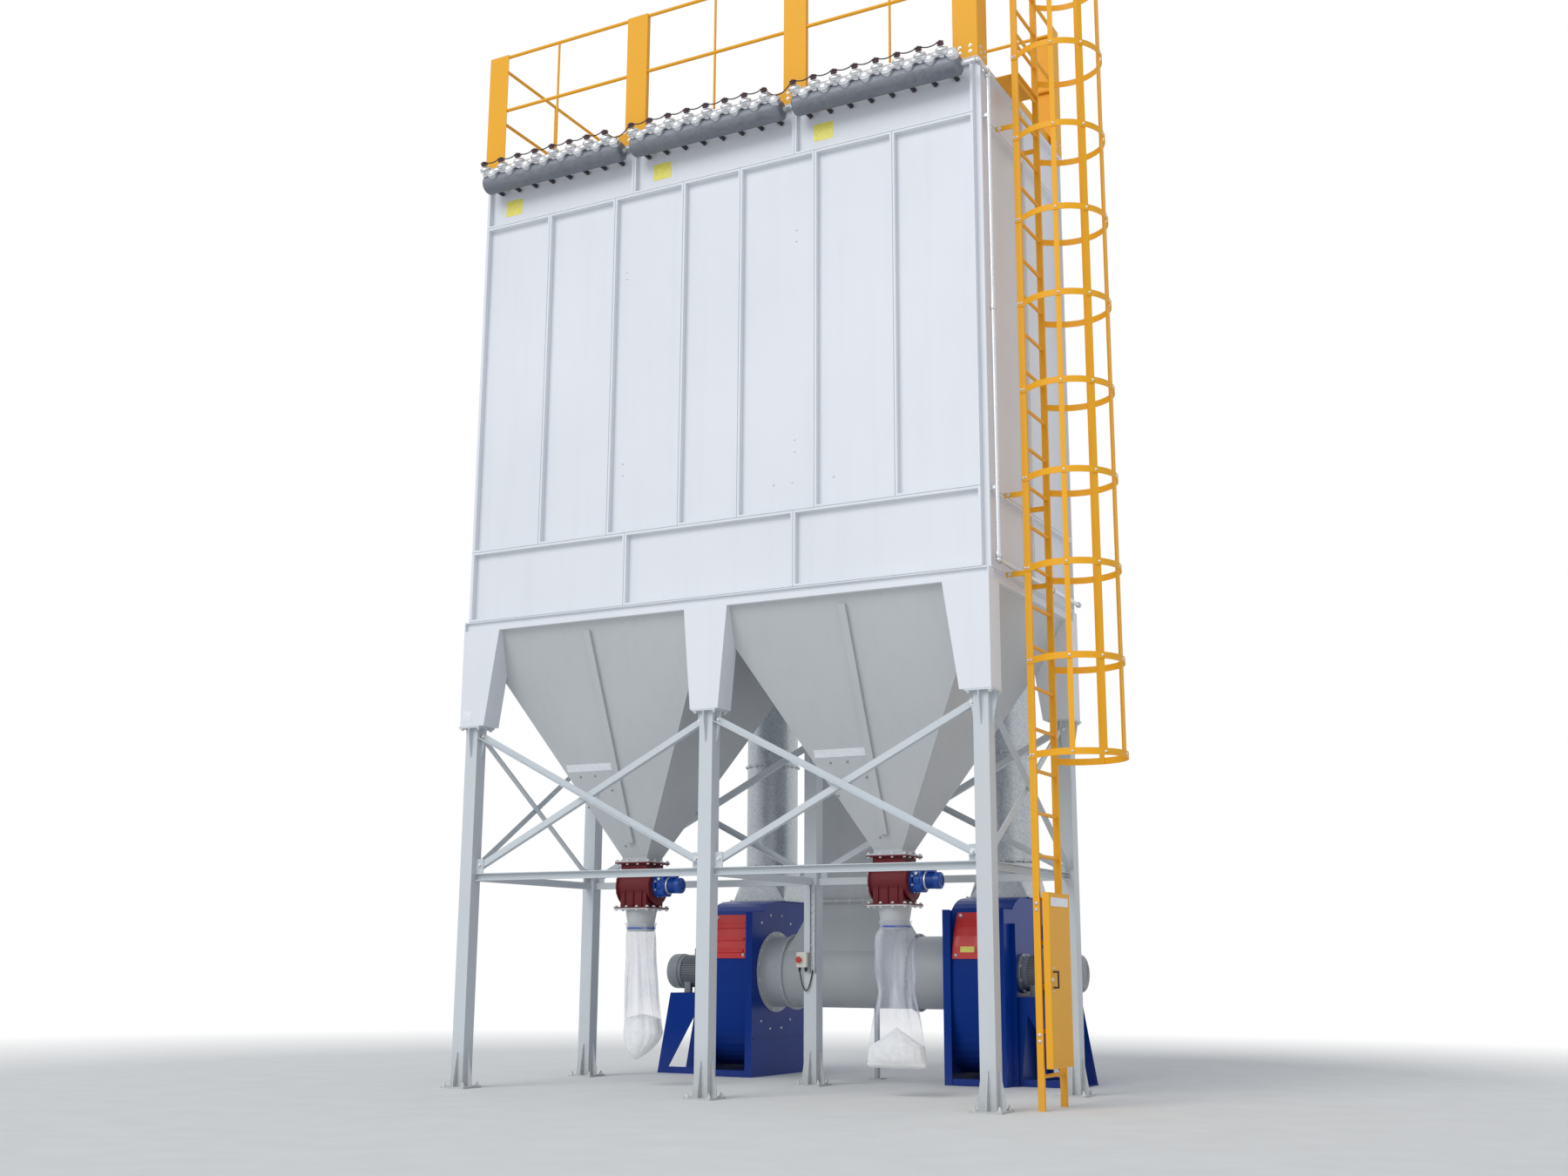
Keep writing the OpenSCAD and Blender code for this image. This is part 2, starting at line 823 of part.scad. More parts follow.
// A rounded scroll seen along X: y to the back and z up from the shaft, grown by a margin
module scroll_outline(grow = 0) {
    roundness = 2.6;
    steps = 48;
    rad_y = fan_plate_len / 2 - scroll_inset + grow;
    rad_z = (fan_top_z - scroll_low_z) / 2 + grow;
    mid = [fan_plate_y + fan_plate_len / 2 - fan_y, (fan_top_z + scroll_low_z) / 2 - fan_z];
    points = [for (i = [0 : steps - 1]) let (a = (i + 0.5) * 360 / steps)
        [mid[0] + rad_y * sign(cos(a)) * pow(abs(cos(a)), 2 / roundness),
            mid[1] + rad_z * sign(sin(a)) * pow(abs(sin(a)), 2 / roundness)]];
    polygon(points);
    translate([fan_out_y - fan_y, 0])
        square([fan_out_len - scroll_inset, fan_top_z - fan_z]);
}

module side_plate_outline() {
    scroll_outline();
    translate([fan_plate_y - fan_y, -fan_z])
        square([fan_plate_len, fan_plate_h]);
}

// Turns an outline in y and z into a plate t thick along +X
module along_x(t) {
    rotate([90, 0, 90])
        linear_extrude(t)
            children();
}

module fan_casing() {
    edge_w = 70;
    flange_out = 20;
    rib_in = 150;
    rib_out = 45;
    rib_share = 0.92;
    translate([fan_in_x, fan_y, fan_z]) {
        for (x = [0, fan_w - fan_plate_t])
            translate([x, 0, 0])
                along_x(fan_plate_t)
                    side_plate_outline();
        along_x(fan_w)
            scroll_outline();
    }
    for (x = [fan_in_x, fan_in_x + fan_w - edge_w])
        translate([x, fan_plate_y, 0])
            cube([edge_w, fan_plate_t, fan_plate_h]);
    translate([fan_in_x, fan_plate_y, 0])
        cube([fan_w, fan_plate_len, fan_plate_t]);
    translate([fan_in_x - flange_out, fan_out_y - flange_out, fan_top_z - fan_plate_t])
        cube([fan_w + 2 * flange_out, fan_out_len + 2 * flange_out, fan_plate_t]);
    for (y = [fan_plate_y + rib_in, fan_back_y - rib_in - fan_plate_t])
        translate([fan_in_x + fan_w - 1, y, 0])
            cube([rib_out + 1, fan_plate_t, fan_plate_h * rib_share]);
}

module fan_casing_left() {
    color(fan_blue)
        mirror([1, 0, 0])
            fan_casing();
}

module fan_casing_right() {
    color(fan_blue)
        fan_casing();
}

module fan_front_panels() {
    edge = 75;
    panel_t = 12;
    panel_z = 1060;
    panel_h = 400;
    color(panel_red)
        for (side = [0, 1])
            mirror([side, 0, 0])
                translate([fan_in_x + edge, fan_y, fan_z])
                    along_x(fan_w - 2 * edge)
                        intersection() {
                            difference() {
                                scroll_outline(joint_gap + panel_t);
                                scroll_outline(joint_gap);
                            }
                            translate([-fan_axis_back, panel_z - fan_z])
                                square([fan_axis_back, panel_h]);
                        }
}

// The stool under a motor: two plates with a sloping outer edge, a table and a foot
module stool() {
    x0 = fan_in_x + fan_w + joint_gap;
    edge = 60;
    knee = 140;
    table_len = stool_len - stool_slope;
    for (y = [fan_y - stool_wid / 2, fan_y + stool_wid / 2 - stool_t])
        translate([x0, y + stool_t, 0])
            rotate([90, 0, 0])
                linear_extrude(stool_t)
                    difference() {
                        polygon([[0, 0], [stool_len, 0], [table_len, stool_h], [0, stool_h]]);
                        polygon([[edge, edge], [stool_len - 2 * edge, edge], [edge * 2, stool_h - knee]]);
                    }
    translate([x0, fan_y - stool_wid / 2, stool_h - stool_t])
        cube([table_len, stool_wid, stool_t]);
    translate([x0, fan_y - stool_wid / 2, 0])
        cube([stool_len, stool_wid, stool_t]);
}

module fan_stools() {
    color(fan_blue)
        for (side = [0, 1])
            mirror([side, 0, 0])
                stool();
}

// A motor whose shaft end faces the fan: flange, body, cowl, feet and terminal box
module fan_motor() {
    flange_w = 20;
    cowl_len = fan_motor_len * 0.2;
    foot_w = fan_motor_d * 0.7;
    foot_len = fan_motor_len * 0.45;
    box_w = fan_motor_d * 0.4;
    translate([fan_in_x + fan_w + joint_gap, fan_y, fan_z]) {
        rotate([0, 90, 0]) {
            cylinder(d = fan_motor_d, h = flange_w, $fn = 64);
            cylinder(d = fan_motor_d * 0.9, h = fan_motor_len - cowl_len, $fn = 64);
            translate([0, 0, fan_motor_len - cowl_len - 1])
                cylinder(d = fan_motor_d * 0.96, h = cowl_len - fan_motor_d * 0.05 + 1, $fn = 64);
            translate([0, 0, fan_motor_len - fan_motor_d * 0.05 - 1])
                cylinder(d1 = fan_motor_d * 0.96, d2 = fan_motor_d * 0.84, h = fan_motor_d * 0.05 + 1, $fn = 64);
        }
        translate([fan_motor_len * 0.2, -foot_w / 2, stool_h + joint_gap - fan_z])
            cube([foot_len, foot_w, fan_z - stool_h]);
        translate([fan_motor_len * 0.3, -box_w / 2, 0])
            cube([box_w * 1.2, box_w, fan_motor_d * 0.45 + 60]);
    }
}

module fan_motors() {
    color(motor_grey)
        for (side = [0, 1])
            mirror([side, 0, 0])
                fan_motor();
}

module ring_on_x(x, d, t) {
    translate([x, fan_y, fan_z])
        rotate([0, 90, 0])
            cylinder(d = d, h = t, $fn = 64);
}

module inlet_plenum() {
    reach = fan_in_x - joint_gap;
    ring_over = 50;
    ring_t = 12;
    leg_d = 50;
    prop_off = 200;
    foot_w = 120;
    foot_t = 10;
    tee_in = 30;
    color(motor_grey) {
        ring_on_x(-reach, plenum_d, 2 * reach);
        for (x = [-reach, reach - ring_t])
            ring_on_x(x, plenum_d + 2 * ring_over, ring_t);
        for (x = [tee_x - tee_len / 2, tee_x + tee_len / 2])
            ring_on_x(x - ring_t, plenum_d + ring_over, 2 * ring_t);
        hull() {
            translate([tee_x - duct_w / 2, fan_y - duct_d / 2, duct_z - duct_flange_t])
                cube([duct_w, duct_d, 1]);
            translate([tee_x - tee_len / 2 + tee_in, fan_y - duct_d / 2, fan_z + plenum_d * 0.28])
                cube([tee_len - 2 * tee_in, duct_d, 1]);
        }
        duct_flange(duct_z - duct_flange_t);
        translate([tee_x + prop_off, fan_y, 0])
            cylinder(d = leg_d, h = fan_z - plenum_d / 2 - joint_gap, $fn = 32);
        translate([tee_x + prop_off - foot_w / 2, fan_y - foot_w / 2, 0])
            cube([foot_w, foot_w, foot_t]);
    }
}

module duct_flange(z) {
    width = duct_w + 2 * duct_flange_out;
    depth = duct_d + 2 * duct_flange_out;
    translate([tee_x - width / 2, fan_y - depth / 2, z])
        cube([width, depth, duct_flange_t]);
}

module clean_air_duct() {
    low = duct_z + joint_gap;
    high = hood_z - joint_gap;
    wall = 4;
    color(hopper_grey)
        difference() {
            union() {
                translate([tee_x - duct_w / 2, fan_y - duct_d / 2, low])
                    cube([duct_w, duct_d, high - low]);
                duct_flange(low);
                duct_flange(casing_z);
                duct_flange(mid_z + bag_h / 2);
                duct_flange(high - duct_flange_t);
            }
            translate([tee_x - duct_w / 2 + wall, fan_y - duct_d / 2 + wall, low - 1])
                cube([duct_w - 2 * wall, duct_d - 2 * wall, high - low + 2]);
        }
}

module clean_air_hood() {
    near_y = half_wid + lip_out + joint_gap;
    far_y = fan_y + duct_d / 2;
    rim = 25;
    rim_w = duct_w + 2 * duct_flange_out;
    color(hopper_grey) {
        translate([tee_x - duct_w / 2, near_y, hood_z])
            cube([duct_w, far_y - near_y, hood_h]);
        translate([tee_x - rim_w / 2, near_y, hood_z - rim])
            cube([rim_w, duct_flange_t, hood_h + 2 * rim]);
        duct_flange(hood_z);
    }
}

// A square-to-round piece on the fan's outlet with an open round duct on it
module discharge_duct() {
    reducer_h = 330;
    round_z = fan_top_z + reducer_h;
    ring_out = 20;
    ring_t = 10;
    wall = 3;
    over = 20;
    translate([fan_in_x + fan_w / 2, fan_out_y + fan_out_len / 2, 0]) {
        translate([-fan_w / 2 - over, -fan_out_len / 2 - over, fan_top_z + joint_gap])
            cube([fan_w + 2 * over, fan_out_len + 2 * over, ring_t]);
        hull() {
            translate([-fan_w / 2 + over / 2, -fan_out_len / 2 + over / 2, fan_top_z + joint_gap])
                cube([fan_w - over, fan_out_len - over, ring_t]);
            translate([0, 0, round_z])
                cylinder(d = stack_d, h = ring_t, $fn = 48);
        }
        difference() {
            union() {
                translate([0, 0, round_z])
                    cylinder(d = stack_d, h = stack_top_z - round_z, $fn = 64);
                for (z = [round_z, (round_z + stack_top_z) / 2, stack_top_z - ring_t])
                    translate([0, 0, z])
                        cylinder(d = stack_d + 2 * ring_out, h = ring_t, $fn = 64);
            }
            translate([0, 0, round_z + ring_t + 1])
                cylinder(d = stack_d - 2 * wall, h = stack_top_z - round_z, $fn = 64);
        }
    }
}

module discharge_ducts() {
    color(zinc)
        for (side = [0, 1])
            mirror([side, 0, 0])
                discharge_duct();
}

module at_headers() {
    for (i = [0 : module_count - 1])
        translate([-half_len + (i + 0.5) * header_pitch, header_y, header_z])
            children();
}

// Points of a dished end from the rim to the crown, or back for the other end
function dish(end) = let (steps = 6, deep = header_d / 5)
    [for (i = [1 : steps]) let (a = end < 0 ? i * 90 / steps : 90 - (i - 1) * 90 / steps)
        [header_d / 2 * sin(a), end * (header_len / 2 - deep + deep * cos(a))]];

module air_headers() {
    bracket_w = 40;
    bracket_t = 20;
    color(zinc)
        at_headers() {
            rotate([0, 90, 0])
                rotate_extrude($fn = 64)
                    polygon(concat([[0, -header_len / 2]], dish(-1), dish(1), [[0, header_len / 2]]));
            for (x = [-header_len * 0.42, header_len * 0.42 - bracket_w])
                translate([x, 0, -bracket_t / 2])
                    cube([bracket_w, header_d / 2 + header_gap + lip_out - joint_gap, bracket_t]);
        }
}

module pulse_valves() {
    coil_h = 45;
    color(zinc)
        at_headers()
            for (i = [0 : valves_per_header - 1])
                translate([-header_len / 2 + (i + 0.5) * valve_pitch, 0, 0])
                    rotate([pulse_lean, 0, 0])
                        translate([0, 0, header_d / 2 + joint_gap]) {
                            cylinder(d = pulse_d, h = pulse_h - coil_h, $fn = 24);
                            cylinder(d = pulse_d * 0.55, h = pulse_h, $fn = 16);
                        }
}

// The supply pipe: out of the right header, round the corner and down the right end
module air_supply_pipe() {
    run_off = 40;
    run_in = 60;
    run_x = half_len + lip_out + run_off;
    run_y = -half_wid + run_in;
    start_x = -half_len + (module_count - 0.5) * header_pitch + header_len / 2 + joint_gap;
    low_z = casing_z + run_in;
    clip_w = 24;
    color(zinc) {
        translate([start_x, header_y, header_z])
            rotate([0, 90, 0])
                cylinder(d = air_pipe_d, h = run_x - start_x, $fn = 24);
        translate([run_x, header_y, header_z])
            sphere(d = air_pipe_d, $fn = 24);
        translate([run_x, header_y, header_z])
            rotate([-90, 0, 0])
                cylinder(d = air_pipe_d, h = run_y - header_y, $fn = 24);
        translate([run_x, run_y, header_z])
            sphere(d = air_pipe_d, $fn = 24);
        translate([run_x, run_y, low_z])
            cylinder(d = air_pipe_d, h = header_z - low_z, $fn = 24);
        translate([run_x, run_y, low_z])
            sphere(d = air_pipe_d, $fn = 24);
        translate([run_x, run_y, low_z])
            rotate([-90, 0, 0])
                cylinder(d = air_pipe_d, h = half_wid - run_y, $fn = 24);
        for (z = [mid_z, top_z])
            translate([half_len + lip_out + joint_gap, run_y - clip_w / 2, z - clip_w / 2])
                cube([run_x - half_len - lip_out, clip_w, clip_w]);
    }
}

module stile(y) {
    translate([ladder_x - stile_d / 2, y, 0])
        cube([stile_d, stile_t, ladder_top_z]);
}

module ladder_stiles() {
    arm_t = 10;
    arm_h = 40;
    arm_len = ladder_x - stile_d / 2 - half_len - lip_out;
    color(guard_yellow) {
        stile(ladder_y - ladder_w / 2 - stile_t);
        stile(ladder_y + ladder_w / 2);
        for (z = [casing_z, mid_z, top_z])
            for (y = [ladder_y - ladder_w / 2 - stile_t, ladder_y + ladder_w / 2 + stile_t - arm_t])
                translate([half_len + lip_out + joint_gap, y, z - arm_h / 2])
                    cube([arm_len - joint_gap + 1, arm_t, arm_h]);
    }
}

// A hinge of the guard door is a fixed knuckle with its pin, under a moving one
module fixed_knuckle(z) {
    pad_t = 6;
    pin_over = 3;
    pad_x = ladder_x + stile_d / 2 + joint_gap;
    translate([hinge_x, hinge_y, z])
        cylinder(d = hinge_d, h = knuckle_h, $fn = 32);
    translate([hinge_x, hinge_y, z + knuckle_h - 1])
        cylinder(d = pin_d, h = knuckle_h + pin_over, $fn = 32);
    translate([pad_x, hinge_y + hinge_d / 4, z])
        cube([hinge_x - pad_x, pad_t, knuckle_h]);
    translate([pad_x, hinge_y + hinge_d / 4, z])
        cube([pad_t, ladder_y + ladder_w / 2 + stile_t - hinge_y - hinge_d / 4, knuckle_h]);
}

module door_hinges() {
    color(guard_yellow)
        for (z = hinge_zs)
            fixed_knuckle(z);
}

module moving_knuckle(z) {
    leaf_t = 8;
    difference() {
        union() {
            translate([hinge_x, hinge_y, z])
                cylinder(d = hinge_d, h = knuckle_h, $fn = 32);
            translate([hinge_x - leaf_t / 2, door_y + door_w - 1, z])
                cube([leaf_t, hinge_y - door_y - door_w + 1, knuckle_h]);
        }
        translate([hinge_x, hinge_y, z - 1])
            cylinder(d = pin_d + 2 * pin_gap, h = knuckle_h + 2, $fn = 32);
    }
}

module ladder_rungs() {
    color(guard_yellow)
        for (i = [0 : rung_count - 1])
            translate([ladder_x, ladder_y + ladder_w / 2, first_rung_z + i * rung_pitch])
                rotate([90, 0, 0])
                    cylinder(d = rung_d, h = ladder_w, $fn = 24);
}

// A hoop is an arc of flat bar with two straight ends that reach the stiles' outer faces
module hoop() {
    sweep = 250;
    end_a = sweep / 2;
    tip_a = end_a - 2;
    tip_r = cage_r + bar_t / 4;
    tip = [tip_r * cos(tip_a), tip_r * sin(tip_a)];
    tip_out = [(tip_r + bar_t / 2) * cos(tip_a), (tip_r + bar_t / 2) * sin(tip_a)];
    stile_y = ladder_w / 2 + stile_t + joint_gap;
    stile_front = ladder_x + stile_d / 2 - cage_x;
    translate([cage_x, ladder_y, 0]) {
        rotate([0, 0, -end_a])
            rotate_extrude(angle = sweep, $fn = 96)
                translate([cage_r, 0])
                    square([bar_t, hoop_h]);
        for (side = [0, 1])
            mirror([0, side, 0])
                linear_extrude(hoop_h)
                    polygon([tip, tip_out, [stile_front, stile_y + bar_t], [stile_front - stile_d, stile_y + bar_t],
                        [stile_front - stile_d, stile_y], [stile_front, stile_y]]);
    }
}

module cage_hoops() {
    color(guard_yellow)
        for (i = [0 : hoop_count - 1])
            translate([0, 0, first_hoop_z + i * hoop_pitch])
                hoop();
}

module cage_straps() {
    sweep = 160;
    color(guard_yellow)
        for (i = [0 : strap_count - 1])
            translate([cage_x, ladder_y, first_hoop_z])
                rotate([0, 0, -sweep / 2 + i * sweep / (strap_count - 1)])
                    translate([sqrt(cage_r * cage_r - strap_w * strap_w / 4) - bar_t - joint_gap, -strap_w / 2, 0])
                        cube([bar_t, strap_w, ladder_top_z - first_hoop_z]);
}

module ladder_step() {
    color(guard_yellow)
        translate([half_len + lip_out + joint_gap, ladder_y - ladder_w / 2, roof_z - step_t])
            cube([ladder_x - stile_d / 2 - half_len - lip_out - joint_gap + stile_d, ladder_w, step_t]);
}

// A corner post is an L of plate; a middle post is a plate with two lips
module corner_post() {
    cube([post_w, post_t, rail_h]);
    cube([post_t, post_w, rail_h]);
}

module middle_post() {
    translate([-post_w / 2, 0, 0]) {
        cube([post_w, post_t, rail_h]);
        for (x = [0, post_w - post_t])
            translate([x, 0, 0])
                cube([post_t, post_lip, rail_h]);
    }
}

module guard_posts() {
    z = roof_z + roof_t;
    color(guard_yellow) {
        for (side = [0, 1], end = [0, 1])
            mirror([0, side, 0])
                mirror([end, 0, 0])
                    translate([-post_x, -post_y, z])
                        corner_post();
        for (side = [0, 1], x = [-header_pitch / 2, header_pitch / 2])
            mirror([0, side, 0])
                translate([x, -post_y, z])
                    middle_post();
        translate([post_x - post_t, gate_y - gate_post_w - joint_gap, z])
            cube([post_t, gate_post_w, rail_h]);
    }
}

module toe_boards() {
    z = roof_z + roof_t;
    long = 2 * post_x - 2 * post_t - 2 * joint_gap;
    short = 2 * post_y - 2 * post_t - 2 * joint_gap;
    inset = post_lip + joint_gap;
    color(guard_yellow) {
        for (side = [0, 1])
            mirror([0, side, 0])
                translate([-long / 2, -post_y + inset, z])
                    cube([long, post_t, toe_h]);
        translate([-post_x + inset, -short / 2 + inset, z])
            cube([post_t, short - 2 * inset, toe_h]);
        translate([post_x - inset - post_t, gate_y, z])
            cube([post_t, short / 2 - inset - gate_y, toe_h]);
    }
}

// One bay of railing: top rail, middle rail and an upright between them and the toe board
module rail_bay(length) {
    mid_at = rail_h * 0.55;
    upright_d = rail_d * 0.7;
    for (z = [mid_at, rail_h - rail_d / 2])
        translate([-length / 2, 0, z])
            rotate([0, 90, 0])
                cylinder(d = rail_d, h = length, $fn = 16);
    low = toe_h + joint_gap;
    translate([0, 0, low])
        cylinder(d = upright_d, h = mid_at - rail_d / 2 - joint_gap - low, $fn = 16);
    middle = mid_at + rail_d / 2 + joint_gap;
    translate([0, 0, middle])
        cylinder(d = upright_d, h = rail_h - rail_d - joint_gap - middle, $fn = 16);
}

module guard_rails() {
    z = roof_z + roof_t;
    rail_in = post_t + joint_gap + rail_d / 2;
    reach = post_x - post_t - joint_gap;
    mid_near = header_pitch / 2 - post_w / 2 - joint_gap;
    mid_far = header_pitch / 2 + post_w / 2 + joint_gap;
    end_reach = post_y - post_t - rail_d - 2 * joint_gap;
    color(guard_yellow) {
        for (side = [0, 1])
            mirror([0, side, 0])
                translate([0, -post_y + rail_in, z]) {
                    rail_bay(2 * mid_near);
                    for (end = [-1, 1])
                        translate([end * (mid_far + reach) / 2, 0, 0])
                            rail_bay(reach - mid_far);
                }
        translate([-post_x + rail_in, 0, z])
            rotate([0, 0, 90])
                rail_bay(2 * end_reach);
        translate([post_x - rail_in, (gate_y + end_reach) / 2, z])
            rotate([0, 0, 90])
                rail_bay(end_reach - gate_y);
    }
}

module emergency_stop() {
    box_w = 100;
    box_d = 60;
    box_h = 130;
    box_z = 980;
    button_d = 55;
    button_h = 30;
    beside = 5;
    translate([-box_w - beside, leg_y - leg_w / 2 - box_d - joint_gap, box_z]) {
        color(bag_white)
            cube([box_w, box_d, box_h]);
        color(panel_red)
            translate([box_w / 2, 1, box_h / 2])
                rotate([90, 0, 0])
                    cylinder(d = button_d, h = button_h, $fn = 32);
    }
}

// A slotted tray up the front of the rear middle leg, beside the stop button
module cable_tray() {
    tray_w = 50;
    tray_d = 20;
    tray_low = 930;
    wall = 2;
    slot_pitch = 60;
    slot_len = 30;
    slot_w = 16;
    beside = 5;
    count = floor((tie_z - tray_low) / slot_pitch);
    color(zinc)
        translate([beside, leg_y - leg_w / 2 - tray_d - joint_gap, tray_low])
            difference() {
                cube([tray_w, tray_d, tie_z - tray_low - joint_gap]);
                translate([wall, -1, -1])
                    cube([tray_w - 2 * wall, tray_d - wall + 1, tie_z - tray_low + 2]);
                for (i = [0 : count - 1])
                    translate([tray_w / 2 - slot_w / 2, tray_d / 2, (i + 0.5) * slot_pitch - slot_len / 2])
                        cube([slot_w, tray_d, slot_len]);
            }
}

// The guard door is a shallow tray in front of the lowest rungs
module ladder_guard_door() {
    wall = 3;
    color(guard_yellow) {
        difference() {
            translate([door_x, door_y, door_z])
                cube([door_d, door_w, door_h]);
            translate([door_x - 1, door_y + wall, door_z + wall])
                cube([door_d - wall + 1, door_w - 2 * wall, door_h - 2 * wall]);
        }
        for (z = hinge_zs)
            moving_knuckle(z + knuckle_h + joint_gap);
    }
}

module door_handle() {
    grip = 110;
    rod = 14;
    out = 35;
    edge = 60;
    x = door_x + door_d + joint_gap;
    y = door_y + edge;
    z = door_z + door_h / 2;
    color(black) {
        for (dz = [-grip / 2, grip / 2])
            translate([x, y, z + dz])
                rotate([0, 90, 0])
                    cylinder(d = rod, h = out, $fn = 24);
        translate([x + out, y, z - grip / 2 - rod / 2])
            cylinder(d = rod, h = grip + rod, $fn = 24);
    }
}

front_legs();
rear_legs();
support_haunches();
ring_beams_long();
ring_beams_cross();
tie_beams();
long_braces();
end_braces();
lower_casing();
bag_casing_front();
bag_casing_rear();
bag_casing_ends();
head_casing();
roof_sheet();
roof_covers();
hopper_left();
hopper_right();
rotary_valves();
valve_gearmotors();
discharge_spigots();
collection_bag_left();
collection_bag_right();
fan_casing_left();
fan_casing_right();
fan_front_panels();
fan_stools();
fan_motors();
inlet_plenum();
clean_air_duct();
clean_air_hood();
discharge_ducts();
air_headers();
pulse_valves();
air_supply_pipe();
ladder_stiles();
ladder_rungs();
cage_hoops();
cage_straps();
ladder_step();
guard_posts();
toe_boards();
guard_rails();
emergency_stop();
cable_tray();
door_hinges();
ladder_guard_door();
door_handle();
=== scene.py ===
# %% [markdown]
# A bag-filter dust collector stands on six braced legs. The solids of its construction are loaded
# first, as a fixed frame in metres. They could be modelled again here, but then two models would
# have to agree, so everything below only dresses them or adds what is too fine for them.

# %% Load the frame
import bpy
import math
import numpy as np
from mathutils import Matrix, Vector


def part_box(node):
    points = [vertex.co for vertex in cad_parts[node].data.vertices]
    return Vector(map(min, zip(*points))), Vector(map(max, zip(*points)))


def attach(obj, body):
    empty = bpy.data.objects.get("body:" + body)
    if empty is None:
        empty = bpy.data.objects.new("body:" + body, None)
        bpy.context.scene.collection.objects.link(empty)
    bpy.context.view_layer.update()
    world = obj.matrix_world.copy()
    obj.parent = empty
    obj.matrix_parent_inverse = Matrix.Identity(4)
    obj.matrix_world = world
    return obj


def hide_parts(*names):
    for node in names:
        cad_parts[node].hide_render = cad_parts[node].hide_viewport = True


for spare in ("Cube", "Light", "Camera"):
    if spare in bpy.data.objects:
        bpy.data.objects.remove(bpy.data.objects[spare])
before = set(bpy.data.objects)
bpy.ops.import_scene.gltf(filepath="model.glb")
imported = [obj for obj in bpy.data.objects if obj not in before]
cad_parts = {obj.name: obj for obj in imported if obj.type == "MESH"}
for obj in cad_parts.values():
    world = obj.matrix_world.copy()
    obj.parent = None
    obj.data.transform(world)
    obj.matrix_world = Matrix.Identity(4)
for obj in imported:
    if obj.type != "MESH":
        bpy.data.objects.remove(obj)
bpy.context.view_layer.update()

# %% [markdown]
# The photograph was taken from the ground, to the right of the machine, with a camera tipped up.
# A camera could be aimed with a constraint, but a fitted place and three angles say exactly
# where the eye was, so the render and the photograph can be laid over each other.

# %% Camera
EYE = (6.893, -12.515, 0.988)
YAW, PITCH, ROLL = -0.4924, 0.2184, 0.0052
PHOTO_WIDE, FOCAL_PIXELS = 1800, 1957.4

camera = bpy.data.objects.new("camera", bpy.data.cameras.new("camera"))
bpy.context.collection.objects.link(camera)
# A camera looks down its own -Z: rolled on its view, tipped up past level, then turned about Z
aim = Matrix.Rotation(-YAW, 4, "Z") @ Matrix.Rotation(math.pi / 2 + PITCH, 4, "X")
camera.matrix_world = Matrix.Translation(EYE) @ aim @ Matrix.Rotation(ROLL, 4, "Z")
camera.data.sensor_width = 36.0
camera.data.lens = camera.data.sensor_width * FOCAL_PIXELS / PHOTO_WIDE
camera.data.clip_end = 200.0
bpy.context.scene.camera = camera
print("lens", round(camera.data.lens, 2), "mm")

# %% [markdown]
# Every new piece is a surface worked out with numpy. Modelling by hand would need hundreds of
# small edits, while a formula on a grid gives all the points at once, and a bolt made once can be
# laid in hundreds of places. Such a bolt is made standing up, so it needs axes that say which way
# it looks: three unit vectors in rows, either for a named side or for any direction.


# %% Axes that face a side
def facing(direction):
    """Axes whose Z is each direction given, with X level: Z = d, X = up x d, Y = Z x X."""
    z = np.atleast_2d(np.asarray(direction, float))
    z = z / np.linalg.norm(z, axis=1, keepdims=True)
    x = np.cross([0.0, 0.0, 1.0], z)
    x = x / np.linalg.norm(x, axis=1, keepdims=True)
    return np.stack([x, np.cross(z, x), z], axis=1)


# Axes for a shape made along +Z, so that its Z looks to the named side
FACING = {"up": np.eye(3), "down": np.diag([1.0, -1.0, -1.0])}
for side, x, y in (("front", 0, -1), ("back", 0, 1), ("right", 1, 0), ("left", -1, 0)):
    FACING[side] = facing((x, y, 0))[0]
print("facings", sorted(FACING))

# %% [markdown]
# A Shape holds points, and its faces as one long row of point numbers with the number of corners
# of each face, which is just what Blender's mesh wants. Copies only repeat the points in other
# axes and shift the point numbers, so a thousand bolts cost no loop.


# %% A shape and its copies
class Shape:
    """Points in rows, the corners of all faces in one row, and how many corners each face has."""

    def __init__(self, points, corners, counts):
        self.points = np.asarray(points, float).reshape(-1, 3)
        self.corners = np.asarray(corners, int).ravel()
        self.counts = np.asarray(counts, int).ravel()

    def at(self, places, axes="up"):
        """One copy for each place: point (a, b, c) becomes place + a X + b Y + c Z, where X, Y
        and Z are the rows of the axes, which are a side's name, one set, or one for each copy."""
        places = np.asarray(places, float).reshape(-1, 3)
        axes = FACING[axes] if isinstance(axes, str) else axes
        axes = np.broadcast_to(axes, (len(places), 3, 3))
        points = np.einsum("pi,kij->kpj", self.points, axes) + places[:, None]
        step = len(self.points) * np.arange(len(places))[:, None]
        return Shape(points, self.corners + step, np.tile(self.counts, len(places)))

    def moved(self, x=0.0, y=0.0, z=0.0):
        """The shape with one offset added."""
        return self.at([(x, y, z)])

    def turned(self, axes):
        """The shape in other axes about the same origin."""
        return self.at([(0, 0, 0)], axes)


def joined(*shapes):
    """All shapes as one: each shape's corners move up by the number of points before it."""
    starts = np.cumsum([0] + [len(s.points) for s in shapes[:-1]])
    corners = np.concatenate([s.corners + start for s, start in zip(shapes, starts)])
    points = np.concatenate([s.points for s in shapes])
    return Shape(points, corners, np.concatenate([s.counts for s in shapes]))


triangle = Shape(np.eye(3), [0, 1, 2], [3])
print("two copies of a triangle have", len(triangle.at(np.eye(3)[:2]).points), "points")

# %% [markdown]
# Nearly every form on the machine is a skin: a stack of rings of equal size, joined by quads and
# closed at both ends, so that no mesh is left open. A lathe is a skin whose rings are circles, as
# a turner would make it, and a disc is the plainest of them.


